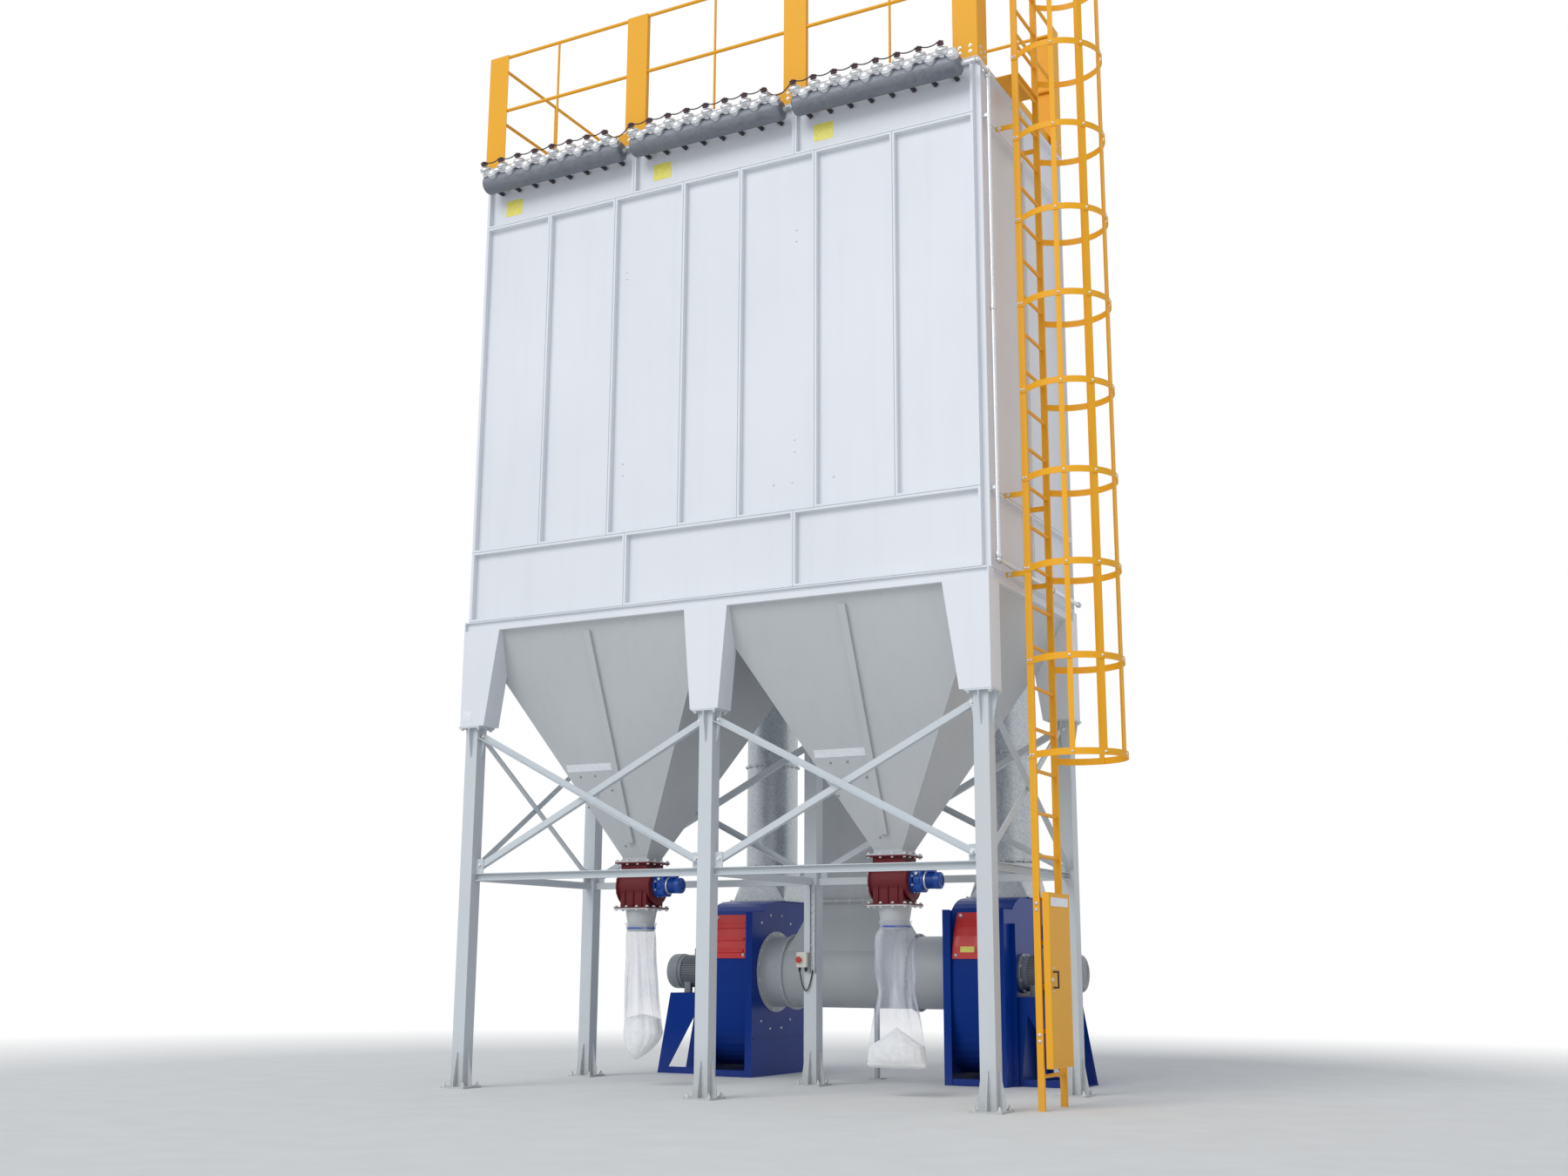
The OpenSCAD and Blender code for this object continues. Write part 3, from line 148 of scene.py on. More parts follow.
# %% Skins and lathes
def skin(rings, close_start=True, close_end=True):
    """Rings of equal size, (rings, points, 3): quads join each ring to the next, and the two
    ends are closed by one face each. The rings run anticlockwise seen from the end."""
    rings = np.asarray(rings, float)
    levels, around = rings.shape[:2]
    index = np.arange(levels * around).reshape(levels, around)
    beside = np.roll(index, -1, axis=1)
    quads = np.stack([index[:-1], beside[:-1], beside[1:], index[1:]], axis=-1).reshape(-1, 4)
    ends = [index[0][::-1]] * close_start + [index[-1]] * close_end
    counts = np.concatenate([np.full(len(quads), 4), np.full(len(ends), around)])
    return Shape(rings, np.concatenate([quads.ravel(), *ends]), counts)


def on_circle(angles):
    """Points (cos a, sin a) on a circle of radius 1."""
    return np.stack([np.cos(angles), np.sin(angles)], axis=-1)


def circle(sides):
    """Points spread evenly on that circle, the first half a side from X."""
    return on_circle((np.arange(sides) + 0.5) * 2 * np.pi / sides)


def level(places, z):
    """Flat places lifted to one height."""
    return np.column_stack([places, np.full(len(places), z)])


def lathe(profile, sides=24):
    """Profile rows (radius, height) turned about Z: point = (r cos a, r sin a, h).
    A radius of nothing would fold a ring to one point, so it is kept at a hair."""
    return skin([level(max(radius, 1e-5) * circle(sides), height) for radius, height in profile])


def disc(radius, low, high, sides=24):
    """A round slab: the profile goes out, up and back in."""
    return lathe([(0, low), (radius, low), (radius, high), (0, high)], sides)


print("a disc has", len(disc(0.1, 0, 0.01).points), "points")

# %% [markdown]
# Flat pieces are outlines raised to a height. They are skins of two rings, or of four where a
# chamfer draws in both ends, because a real edge is never sharp and its bevel catches the light.


# %% Raised outlines
def prism(outline, low, high, chamfer=0.0):
    """An outline in X and Y raised from low to high; a chamfer draws both end rings in
    towards the middle of the outline by that much along each axis."""
    centre = (outline.max(0) + outline.min(0)) / 2
    reach = (outline.max(0) - outline.min(0)) / 2
    small = centre + (outline - centre) * (1 - chamfer / reach)
    rings = [level(outline, low + chamfer), level(outline, high - chamfer)]
    return skin([level(small, low), *rings, level(small, high)] if chamfer else rings)


def rounded(width, depth, radius, steps=3):
    """An outline of a rectangle whose corners are quarter circles, anticlockwise."""
    a = np.arange(4)[:, None] * np.pi / 2 + np.linspace(0, np.pi / 2, steps + 1)
    mid = np.array([[1, 1], [-1, 1], [-1, -1], [1, -1]]) * (np.array([width, depth]) / 2 - radius)
    return (mid[:, None] + radius * on_circle(a)).reshape(-1, 2)


def plate(width, depth, thick):
    """A flat plate with rounded corners and a fine chamfer, its back on z = 0."""
    return prism(rounded(width, depth, 0.004), 0.0, thick, min(0.0008, thick / 4))


print("a plate has", len(plate(0.1, 0.1, 0.01).points), "points")

# %% [markdown]
# Pipes and leads are outlines led along a path. A curve object could do it, but a skin with a
# ring at every point of the path, on axes that never spin, stays in numpy and doesn't twist.


# %% Carried outlines
def carry(outline, path, closed=False):
    """An outline carried along a path: each ring = path point + outline x side + outline y rise,
    where side = the path's direction x the one fixed axis that the path keeps clearest of."""
    path = np.asarray(path, float)
    ahead = np.roll(path, -1, axis=0) - np.roll(path, 1, axis=0)
    if not closed:
        ahead[0], ahead[-1] = path[1] - path[0], path[-1] - path[-2]
    ahead /= np.linalg.norm(ahead, axis=1, keepdims=True)
    steady = np.eye(3)[np.argmin(np.abs(ahead).mean(axis=0))]
    side = np.cross(ahead, steady)
    side /= np.linalg.norm(side, axis=1, keepdims=True)
    rise = np.cross(ahead, side)
    rings = path[:, None] + outline[:, :1] * side[:, None] + outline[:, 1:] * rise[:, None]
    if closed:
        rings = np.concatenate([rings, rings[:1]])
    return skin(rings, not closed, not closed)


def tube(path, radius, sides=8):
    """A round bar along a path."""
    return carry(circle(sides) * radius, path)


print("a straight tube has", len(tube([(0, 0, 0), (1, 0, 0)], 0.01).points), "points")

# %% [markdown]
# A finish is built from nodes. Wiring each by hand hides the idea in clutter, so sums are
# written as sums: a Wire stands for one output, and its operators add the Math nodes. Every
# other node comes from one method that sets the node's own settings first and its sockets next.


# %% Writing node trees as sums
class Wire:
    """One output of a node. Sums, differences and products of wires add Math nodes."""

    def __init__(self, tree, socket):
        self.tree = tree
        self.socket = socket

    def maths(self, operation, first, second):
        """A Math node of one operation on wires or numbers."""
        return self.tree.node("Math", {0: first, 1: second}, operation=operation)

    def __add__(self, other):
        return self.maths("ADD", self, other)

    def __sub__(self, other):
        return self.maths("SUBTRACT", self, other)

    def __rsub__(self, other):
        return self.maths("SUBTRACT", other, self)

    def __mul__(self, other):
        return self.maths("MULTIPLY", self, other)

    __radd__ = __add__
    __rmul__ = __mul__

    def clamped(self):
        """The wire kept from 0 to 1."""
        return self.tree.node("Clamp", {"Value": self})


class NodeTree:
    """The nodes of a material or of the sky, started empty."""

    def __init__(self, owner):
        owner.use_nodes = True
        self.tree = owner.node_tree
        self.tree.nodes.clear()

    def node(self, kind, inputs, output=0, **settings):
        """Adds a node: its settings, then its sockets, which take numbers, colours or wires."""
        node = self.tree.nodes.new("ShaderNode" + kind)
        for name, value in settings.items():
            setattr(node, name, value)
        for name, value in inputs.items():
            if isinstance(value, Wire):
                self.tree.links.new(value.socket, node.inputs[name])
            else:
                node.inputs[name].default_value = value
        return Wire(self, node.outputs[output]) if len(node.outputs) else None


print("a Wire has", *(name for name, part in vars(Wire).items() if callable(part)))

# %% [markdown]
# Every finish needs the same few things: noise of a known size in metres, a ramp, a mix of two
# colours and a bump. As methods they let a material read like a recipe.


# %% What a finish is made of
class Finish(NodeTree):
    """A material under construction, read in the object's own coordinates."""

    def __init__(self, name):
        self.material = bpy.data.materials.new(name)
        super().__init__(self.material)
        self.place = self.node("TexCoord", {}, "Object")

    def height(self):
        """Height above the ground in metres, as every object's origin is on the ground."""
        return self.node("SeparateXYZ", {"Vector": self.place}, "Z")

    def noise(self, size, detail=4.0, roughness=0.5, stretch=(1.0, 1.0, 1.0)):
        """Soft noise from 0 to 1 whose blobs are about size metres across, before the stretch."""
        scale = tuple(s / size for s in stretch)
        place = self.node("Mapping", {"Vector": self.place, "Scale": scale})
        inputs = {"Vector": place, "Scale": 1.0, "Detail": detail, "Roughness": roughness}
        return self.node("TexNoise", inputs, "Fac")

    def ramp(self, factor, low, high):
        """0 below low and 1 above high, with a straight climb between them."""
        return self.node("MapRange", {"Value": factor, "From Min": low, "From Max": high})

    def blend(self, factor, first, second):
        """A colour that goes from the first to the second with the factor. The Mix node keeps
        its colour sockets at 6 and 7, and its colour output at 2."""
        return self.node("Mix", {0: factor, 6: first, 7: second}, 2, data_type="RGBA")

    def bump(self, height, strength, distance):
        """A normal tilted as if the surface rose by height times distance in metres."""
        return self.node("Bump", {"Height": height, "Strength": strength, "Distance": distance})

    def done(self, **sockets):
        """Ends the material in a Principled shader, where fixed values sit on its own sockets."""
        named = {name.replace("_", " "): value for name, value in sockets.items()}
        self.node("OutputMaterial", {"Surface": self.node("BsdfPrincipled", named)})
        return self.material


def linear(hex_colour):
    """The colour that a screen shows for #rrggbb, as the linear light that shaders use:
    c / 12.92 in the darkest part and ((c + 0.055) / 1.055) ** 2.4 above it."""
    screen = np.array([int(hex_colour[i:i + 2], 16) / 255 for i in (1, 3, 5)])
    light = np.where(screen <= 0.04045, screen / 12.92, ((screen + 0.055) / 1.055) ** 2.4)
    return (*light.tolist(), 1.0)


print("mid grey is", round(linear("#808080")[0], 3))

# %% [markdown]
# Nearly everything is sprayed enamel over steel. One flat colour would look like plastic, so the
# paint fades in broad patches, rain draws faint upright streaks, splashed dust gathers near the
# ground, and the sheet is never quite flat, which shows in its reflections. One function makes
# all the enamels, and each call says the colour and how clean and glossy that part is.

# %% Enamel
DUST = linear("#8f8778")
finishes = {}


def enamel(name, colour, faded, gloss, streaks, splash, wave, coat=0.0, mirror=0.5):
    """Colour = enamel, towards faded in patches and streaks, towards dust near the ground.
    Roughness = 0.96 - gloss + a little noise; height = slow waves of the sheet + fine peel."""
    f = Finish(name)
    patches = f.ramp(f.noise(1.3, 3.0), 0.35, 0.75)
    rain = f.ramp(f.noise(0.11, 5.0, 0.6, (1.0, 1.0, 0.05)), 0.5, 0.78)
    body = f.blend((patches * 0.45 + rain * streaks).clamped(), linear(colour), linear(faded))
    low = 1.0 - f.ramp(f.height(), 0.02, 0.42)
    dust = (low * f.noise(0.05, 5.0, 0.65) * splash).clamped()
    relief = f.noise(0.55, 1.0) * wave + f.noise(0.004, 2.0) * 0.006
    return f.done(
        Base_Color=f.blend(dust, body, DUST),
        Roughness=(f.noise(0.035, 3.0) * 0.08 + dust * 0.35 + (0.96 - gloss)).clamped(),
        Specular_IOR_Level=mirror,
        Coat_Weight=coat,
        Normal=f.bump(relief, 0.5, 0.012),
    )


for name, *look in (
    ("casing_grey", "casing_grey_enamel", "#e4e7ec", "#d6dae0", 0.5, 0.22, 0.3, 0.3),
    # The hoppers' enamel is darker than the casing's: painted shade of the hoppers under the casing
    ("hopper_grey", "hopper_enamel_with_painted_shade", "#c2c5c7", "#b5b9bb", 0.48, 0.3, 0.3, 0.25),
    ("steel_grey", "leg_grey_enamel", "#cdd3d7", "#c0c7cb", 0.5, 0.2, 0.6, 0.1),
    ("guard_yellow", "guard_yellow_enamel", "#f4ae1c", "#e8a928", 0.5, 0.25, 0.3, 0.04, 0.0, 0.3),
    ("fan_blue", "fan_blue_enamel", "#02338b", "#083c95", 0.70, 0.15, 0.15, 0.12, 0.0, 0.14),
    ("motor_blue", "gearmotor_blue_enamel", "#0b4298", "#1b4c9f", 0.68, 0.15, 0.2, 0.05, 0.15, 0.3),
    ("valve_red", "valve_red_oxide", "#6a1e23", "#602328", 0.45, 0.3, 0.3, 0.1, 0.0, 0.25),
    ("panel_red", "panel_red_enamel", "#dc2f31", "#d23f3c", 0.66, 0.1, 0.3, 0.1, 0.15, 0.35),
    ("motor_grey", "motor_grey_enamel", "#bcc0c2", "#afb4b6", 0.55, 0.2, 0.4, 0.08),
    ("cast_grey", "cast_grey_enamel", "#8f9498", "#84898d", 0.55, 0.2, 0.4, 0.08),
    ("box_grey", "box_cream_plastic", "#dcdad0", "#d0cec4", 0.5, 0.1, 0.2, 0.02),
):
    finishes[name] = enamel(*look)
print("enamels", len(finishes))

# %% [markdown]
# Bare metal comes next. Hot-dip galvanising freezes in flat crystals, so cells of a Voronoi
# pattern each get their own grey and gloss. Cast valve bodies are finer and brighter, and the
# plated bolts have only a hint of variation because each is a few pixels across.


# %% Bare metals
def galvanised(name, dark, bright, cell, metallic, rough):
    """Each cell of a Voronoi pattern takes one shade between dark and bright, and its gloss."""
    f = Finish(name)
    inputs = {"Vector": f.place, "Scale": 1.0 / cell, "Randomness": 1.0}
    crystal = f.node("TexVoronoi", inputs, "Color", feature="F1")
    shade = f.node("SeparateColor", {"Color": crystal}, "Red")
    cloud = f.ramp(f.noise(0.35, 4.0, 0.6, (1.0, 1.0, 0.3)), 0.3, 0.7)
    tone = (shade * 0.6 + cloud * 0.4).clamped()
    return f.done(
        Base_Color=f.blend(tone, linear(dark), linear(bright)),
        Metallic=metallic,
        Roughness=(shade * 0.16 + cloud * 0.1 + rough).clamped(),
        Normal=f.bump(f.noise(0.01, 3.0) + shade * 0.3, 0.15, 0.002),
    )


finishes |= {
    "zinc": galvanised("galvanised_duct", "#9ea4a9", "#cdd2d6", 0.012, 0.75, 0.28),
    "header_silver": galvanised("header_silver", "#6b6f77", "#7e838c", 0.03, 0.4, 0.34),
    "pipe_zinc": galvanised("bright_zinc_pipe", "#c9ced4", "#e4e8ec", 0.008, 0.6, 0.24),
    "cast_alloy": galvanised("cast_alloy", "#b3b6ba", "#e3e5e8", 0.006, 0.8, 0.2),
    "bolt_zinc": galvanised("plated_bolts", "#c3c5c6", "#eceded", 0.01, 0.55, 0.25),
}
print("with bare metals", len(finishes))

# %% [markdown]
# Plastic, rubber and the bare plates are moulded or printed in one colour. Two near shades in
# soft noise and a fine grain keep them from looking perfect, and the glossy ones get a coat.


# %% Plastics and bare plates
def moulded(name, colour, worn, rough, coat=0.0):
    """Plastic or rubber: two near shades in soft noise, with a fine grain."""
    f = Finish(name)
    tone = f.ramp(f.noise(0.03, 4.0), 0.35, 0.7)
    return f.done(
        Base_Color=f.blend(tone, linear(colour), linear(worn)),
        Roughness=(tone * 0.15 + rough).clamped(),
        Coat_Weight=coat,
        Normal=f.bump(f.noise(0.002, 2.0), 0.15, 0.0006),
    )


finishes |= {
    "black_plastic": moulded("black_plastic", "#19181b", "#262428", 0.35),
    "coil_plastic": moulded("coil_plastic", "#4d2c3c", "#2e1a24", 0.3, 0.3),
    "seam_sealant": moulded("seam_sealant", "#b4b9c0", "#a9aeb6", 0.6),
    "button_red": moulded("button_red", "#c81d17", "#b5241f", 0.3, 0.3),
    "plate_white": moulded("bare_white_plate", "#eceef2", "#dfe2e8", 0.35, 0.2),
    "plate_yellow": moulded("bare_yellow_plate", "#f3ea6e", "#e6dc62", 0.4, 0.1),
    "band_blue": moulded("tie_band_blue", "#2b50b0", "#3b60b8", 0.35, 0.2),
}
print("with plastics", len(finishes))

# %% [markdown]
# The bags are clear polythene, half full of white powder. Real film is a millimetre's fraction
# thick, mostly clear, and milky where it creases, so its alpha rises in long upright creases.
# Glass would bend the light as a solid block does, which thin film doesn't.


# %% Film and powder
def polythene():
    """Alpha = a thin veil + milky creases stretched down the bag, and less where powder backs it;
    the same creases lift the bump."""
    f = Finish("clear_polythene")
    creases = f.ramp(f.noise(0.10, 2.0, 0.4, (1.0, 1.0, 0.12)), 0.45, 0.65)
    crumple = f.ramp(f.noise(0.16, 2.0, 0.4), 0.5, 0.7)
    empty = f.ramp(f.height(), 0.42, 0.72)
    cover = (creases * 0.24 + crumple * 0.10 + 0.26) * (empty * 0.7 + 0.3)
    return f.done(
        Base_Color=f.blend(creases, linear("#b9bfcf"), linear("#f1f3f9")),
        Roughness=crumple * 0.1 + 0.16,
        Coat_Weight=0.5,
        Alpha=cover.clamped(),
        Normal=f.bump(creases + crumple * 0.5, 0.5, 0.008),
    )


def powder():
    """A fine white powder: no gloss, soft lumps and faint grey pockets."""
    f = Finish("white_powder")
    lumps = f.noise(0.05, 5.0, 0.6)
    return f.done(
        Base_Color=f.blend(f.ramp(lumps, 0.35, 0.7), linear("#f0f0ef"), linear("#fdfdfc")),
        Roughness=0.95,
        Normal=f.bump(lumps + f.noise(0.008, 3.0) * 0.2, 0.5, 0.01),
    )


finishes |= {"film": polythene(), "powder": powder()}
print("with film and powder", len(finishes))

# %% [markdown]
# The loaded solids arrive with one plain material each. The record names a finish for every
# node, so the same names pick the enamel or metal, and nothing has to be listed twice.

# %% Dress the solids
OTHERWISE = {"air_supply_pipe": "pipe_zinc", "air_headers": "header_silver"}
for name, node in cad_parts.items():
    wanted = OTHERWISE.get(name, node.data.materials[0].name.split(".")[0])
    node.material_slots[0].material = finishes.get(wanted, finishes["casing_grey"])
print("dressed", len(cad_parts), "nodes")

# %% [markdown]
# A shape becomes an object by filling a mesh in one go. The object stays at the origin, because
# its place is in its points, and it rides on a body of the frame so that it moves with it.

# %% From shape to piece
SMOOTH_ANGLE = math.radians(35)
made = {}


def placed(name, shape, material):
    """Fills a mesh from a shape and shades it smooth except at its corners."""
    mesh = bpy.data.meshes.new(name)
    mesh.vertices.add(len(shape.points))
    mesh.vertices.foreach_set("co", shape.points.astype(np.float32).ravel())
    mesh.loops.add(len(shape.corners))
    mesh.loops.foreach_set("vertex_index", shape.corners.astype(np.int32))
    mesh.polygons.add(len(shape.counts))
    starts = np.cumsum(shape.counts) - shape.counts
    mesh.polygons.foreach_set("loop_start", starts.astype(np.int32))
    mesh.polygons.foreach_set("use_smooth", np.ones(len(starts), bool))
    mesh.update(calc_edges=True)
    mesh.set_sharp_from_angle(angle=SMOOTH_ANGLE)
    mesh.materials.append(material)
    thing = bpy.data.objects.new(name, mesh)
    bpy.context.collection.objects.link(thing)
    return thing


def piece(name, shape, finish, body="collector", replaces=()):
    """A shape in one finish that rides on a body, and may stand for solids that it hides."""
    thing = placed(name, shape, finishes[finish])
    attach(thing, body)
    if replaces:
        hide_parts(*replaces)
    made[name] = int((shape.counts - 2).sum())
    print(name, made[name], "triangles")


# %% [markdown]
# Now the driving places. They are read from the boxes of the solids, so a later change of a size
# in the construction carries the dressing with it, and only widths that no box gives are written.

# %% Places read from the frame
TOUCH = 0.0003  # the air left between a new piece and the solid that it sits on
LIP = 0.05
BASE_HALF, LEG_HALF = 0.12, 0.06
MODULES = 3
tier, bags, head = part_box("lower_casing"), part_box("bag_casing_front"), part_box("head_casing")
legs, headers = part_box("front_legs"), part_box("air_headers")
edge_x, edge_y, leg_top, roof_z = tier[1].x, tier[1].y, legs[1].z, head[1].z
sheet_x, sheet_y = edge_x - LIP, edge_y - LIP
leg_x, leg_y = legs[1].x - BASE_HALF, -legs[0].y - BASE_HALF
module = 2 * sheet_x / MODULES
module_centres = (np.arange(MODULES) - (MODULES - 1) / 2) * module
hopper_x = sheet_x / 2
hopper_xs = (-hopper_x, hopper_x)
header_r = (headers[1].z - headers[0].z) / 2
header_y, header_z = headers[0].y + header_r, headers[0].z + header_r
print("edge", round(edge_x, 3), round(edge_y, 3), "header", round(header_y, 3), round(header_z, 3))

# %% [markdown]
# Bolts hold all of it together. One bolt has a washer, a hexagon head with a turned-down rim,
# and that is enough, because even the closest is a few pixels wide. It is made once for each size
# and laid by arrays of places, which is how a thousand bolts stay a single light mesh.


# %% A bolt and where the bolts go
def bolt(across, washer=True):
    """A hexagon head of one width across flats on a washer; the rim is drawn in at the top.
    Radius of the hexagon's corners = across / sqrt 3, and the head is 0.6 of the width high."""
    corner = across / math.sqrt(3)
    thick = across * 0.14 if washer else 0.0
    rim, top = thick + across * 0.6 * 0.85, thick + across * 0.6
    hexagon = lathe([(0, thick), (corner, thick), (corner, rim), (corner * 0.86, top), (0, top)], 6)
    return joined(disc(across, 0, thick, 12), hexagon) if washer else hexagon


def grid_of(*axes):
    """All combinations of the given coordinates, one place in each row."""
    return np.stack(np.meshgrid(*axes, indexing="ij"), axis=-1).reshape(-1, len(axes))


def spread(centres, offsets):
    """Every flat offset laid about every centre."""
    return (np.asarray(centres)[:, None] + offsets[None]).reshape(-1, 2)


BASE_TOP = CAP_T = 0.015
ANCHOR_OFF, CAP_BOLT_OFF = 0.095, 0.085
leg_places = grid_of([-leg_x, 0.0, leg_x], [-leg_y, leg_y])
corners = grid_of([-1, 1], [-1, 1])
stud = lathe([(0, -0.012), (0.008, -0.012), (0.008, 0.032), (0.006, 0.034), (0, 0.034)], 12)
anchors = joined(bolt(0.024), stud).at(level(spread(leg_places, corners * ANCHOR_OFF), BASE_TOP))
cap_at = level(spread(leg_places, corners * CAP_BOLT_OFF), leg_top - CAP_T)
piece("leg_bolts", joined(anchors, bolt(0.024).at(cap_at, "down")), "bolt_zinc")

# %% [markdown]
# The flanges of hoppers, valves and spigots are pulled together by bolts whose heads shine against
# the red paint. Their pitch is the flange's side shared out evenly, as a fitter would drill it.

# %% Flange bolts
FLANGE_HALF, FLANGE_T = 0.155, 0.010
hopper_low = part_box("hopper_left")[0].z
valve_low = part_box("rotary_valves")[0].z


def square_places(half, per_side):
    """Points spaced evenly round a square: the k-th lies k / per_side of the way along a side."""
    t = np.linspace(-1, 1, per_side, endpoint=False)
    one = np.column_stack([t, -np.ones(per_side)])
    next_one = np.column_stack([-one[:, 1], one[:, 0]])
    return half * np.concatenate([one, next_one, -one, -next_one])


ring_at = spread([(x, 0) for x in hopper_xs], square_places(FLANGE_HALF, 3))
head_bolt, plain_nut = bolt(0.019), bolt(0.019, washer=False)
flange_bolts = []
for z in (hopper_low, valve_low):
    flange_bolts.append(head_bolt.at(level(ring_at, z + FLANGE_T)))
    flange_bolts.append(plain_nut.at(level(ring_at, z - FLANGE_T), "down"))
piece("flange_bolts", joined(*flange_bolts), "bolt_zinc")

# %% [markdown]
# Each bay of the frame is stiffened by two crossing angles, bolted to a lug at the foot and to a
# fin at the head. The bolt's places follow from the same corners that the angles run between.

# %% Brace bolts
LUG_H, LUG_W, FIN_OUT, FIN_H = 0.12, 0.075, 0.048, 0.24
LUG_HALF, ANGLE_T = 0.0043, 0.006
low_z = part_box("tie_beams")[1].z + LUG_H * 0.55
high_z = leg_top - FIN_H * 0.35


def brace_bolts(span, middle, along, out):
    """Heads on the angles of one bay and nuts on the other side of each lug. The low ends lie
    0.55 of a lug in from the legs' faces, the high ends 0.6 of a fin."""
    low, high = span / 2 - LUG_W * 0.55, span / 2 - FIN_OUT * 0.6
    found = []
    for x, z, side in ((-low, low_z, 1), (high, high_z, 1), (low, low_z, -1), (-high, high_z, -1)):
        end = np.array([*middle, z]) + x * along
        for off in (side * (LUG_HALF + ANGLE_T), side * (TOUCH - LUG_HALF)):
            found.append(bolt(0.024).at([end + off * out], facing(off * out)))
    return joined(*found)


RIGHTWARD, REARWARD = np.eye(3)[:2]
long_bays = grid_of([-leg_x / 2, leg_x / 2], [-leg_y, leg_y])
long_span, end_span = leg_x - 2 * LEG_HALF, 2 * leg_y - 2 * LEG_HALF
bays = [brace_bolts(long_span, at, RIGHTWARD, REARWARD) for at in long_bays]
bays += [brace_bolts(end_span, (x, 0), REARWARD, RIGHTWARD) for x in (-leg_x, leg_x)]
piece("brace_bolts", joined(*bays), "bolt_zinc")

# %% [markdown]
# The cage is hoops and straps screwed together with round-headed screws, two at the stiles of
# every hoop and one where each strap crosses. From the ground they show as a row of bright dots.

# %% Cage and stile screws
HOOP_PITCH, HOOP_H, HOOP_R, HOOP_T = 0.705, 0.05, 0.35, 0.006
STILE_HALF = 0.025
cage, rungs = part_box("cage_hoops"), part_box("ladder_rungs")
ladder_x, ladder_y = (rungs[0].x + rungs[1].x) / 2, (rungs[0].y + rungs[1].y) / 2
hoop_zs = np.arange(cage[0].z, cage[1].z - HOOP_H / 2, HOOP_PITCH) + HOOP_H / 2
stile_y = np.array([rungs[0].y - STILE_HALF, rungs[1].y + STILE_HALF])


def dome(radius, tall=0.45):
    """A round head: radius x cos a, and height x sin a, over a quarter turn. The height is tall
    times the head's width."""
    return lathe(on_circle(np.linspace(0, np.pi / 2, 5)) * (radius, radius * 2 * tall), 12)


cup = dome(0.011)
strap_a = np.radians(np.linspace(-80, 80, 5))
strap_out = level(on_circle(strap_a), 0.0)
strap_at = (ladder_x + HOOP_R * 0.8, ladder_y, 0) + strap_out * (HOOP_R + HOOP_T)
cross_at = (strap_at + np.array([0, 0, 1.0]) * hoop_zs[:, None, None]).reshape(-1, 3)
screws = [cup.at(cross_at, np.tile(facing(strap_out), (len(hoop_zs), 1, 1)))]
for y, out, side in zip(stile_y, (-1, 1), ("front", "back")):
    face = y + out * (TOUCH + HOOP_T)
    screws.append(cup.at(grid_of([ladder_x - 0.012, ladder_x + 0.012], [face], hoop_zs), side))
piece("cage_screws", joined(*screws), "bolt_zinc")

bracket_z = [tier[0].z, bags[0].z, head[0].z]
door_bolt_z = [z + off for z in (1.42, 0.50) for off in (-0.022, 0.022)]
stile_bolts = joined(
    bolt(0.017).at(grid_of([edge_x + 0.03], [stile_y[0] - TOUCH], bracket_z), "front"),
    bolt(0.017).at(grid_of([edge_x + 0.03], [stile_y[1] + TOUCH], bracket_z), "back"),
    dome(0.014).at(grid_of([ladder_x], [stile_y[0]], door_bolt_z), "front"),
)
piece("stile_bolts", stile_bolts, "bolt_zinc")

# %% [markdown]
# Compressed air waits in three headers, and eight valves on each let it out in short pulses that
# shake the filter bags. A valve is a cast foot, a screwed bonnet and a small dark coil, with the
# lump of its outlet beside it. Both are turned from profiles, because all but the screws is round.


# %% One pulse valve
def valve_body():
    """Profile of the casting: foot flange, waist, two bonnet rims and a low crown."""
    rows = [(0, -0.014), (0.036, -0.014), (0.036, 0), (0.046, 0), (0.046, 0.010), (0.037, 0.015),
            (0.037, 0.028), (0.045, 0.032), (0.052, 0.036), (0.052, 0.048), (0.048, 0.050),
            (0.052, 0.052), (0.052, 0.060), (0.044, 0.070), (0.020, 0.075), (0, 0.075)]
    stem = disc(0.013, 0.074, 0.084, 16)
    return joined(lathe(rows), bolt(0.008, False).at(level(circle(6) * 0.043, 0.061)), stem)


def valve_outlet():
    """Profile of the lump beside the bonnet: a wide rim, a shoulder and a crown."""
    rows = [(0, -0.02), (0.048, -0.02), (0.053, 0.006), (0.053, 0.024), (0.044, 0.032),
            (0.041, 0.042), (0.026, 0.052), (0, 0.054)]
    return joined(lathe(rows), bolt(0.010, False).at(level(circle(4) * 0.033, 0.044)))


def valve_coil():
    """A square coil with rounded corners, its plug behind and a wide cap on top."""
    cap = [(0, 0.113), (0.029, 0.113), (0.030, 0.118), (0.012, 0.121), (0.012, 0.125), (0, 0.125)]
    plug = prism(rounded(0.026, 0.022, 0.005), 0.0, 0.030, 0.002).turned("back")
    coil = prism(rounded(0.046, 0.042, 0.010), 0.082, 0.114, 0.003)
    return joined(coil, lathe(cap, 20), plug.moved(y=0.018, z=0.098))


body, outlet, coil = valve_body(), valve_outlet(), valve_coil()
print("a valve has", len(joined(body, outlet, coil).points), "points")

# %% [markdown]
# Eight valves stand in a row on each header. A valve leans forward, and its outlet leans further,
# so each has axes of its own. A short passage leads from a valve to its outlet, and from there to
# the next valve of the row, and fills the gaps between the castings.

# %% Valves on their headers
VALVES = 8
LEAN, OUTLET_LEAN = math.radians(35), math.radians(59)
VALVE_LEFT, OUTLET_RIGHT, PASSAGE_UP = 0.042, 0.048, 0.026
valve_pitch = (headers[1].x - module_centres[-1]) * 2 / VALVES
valve_xs = (module_centres[:, None] + (np.arange(VALVES) - (VALVES - 1) / 2) * valve_pitch).ravel()


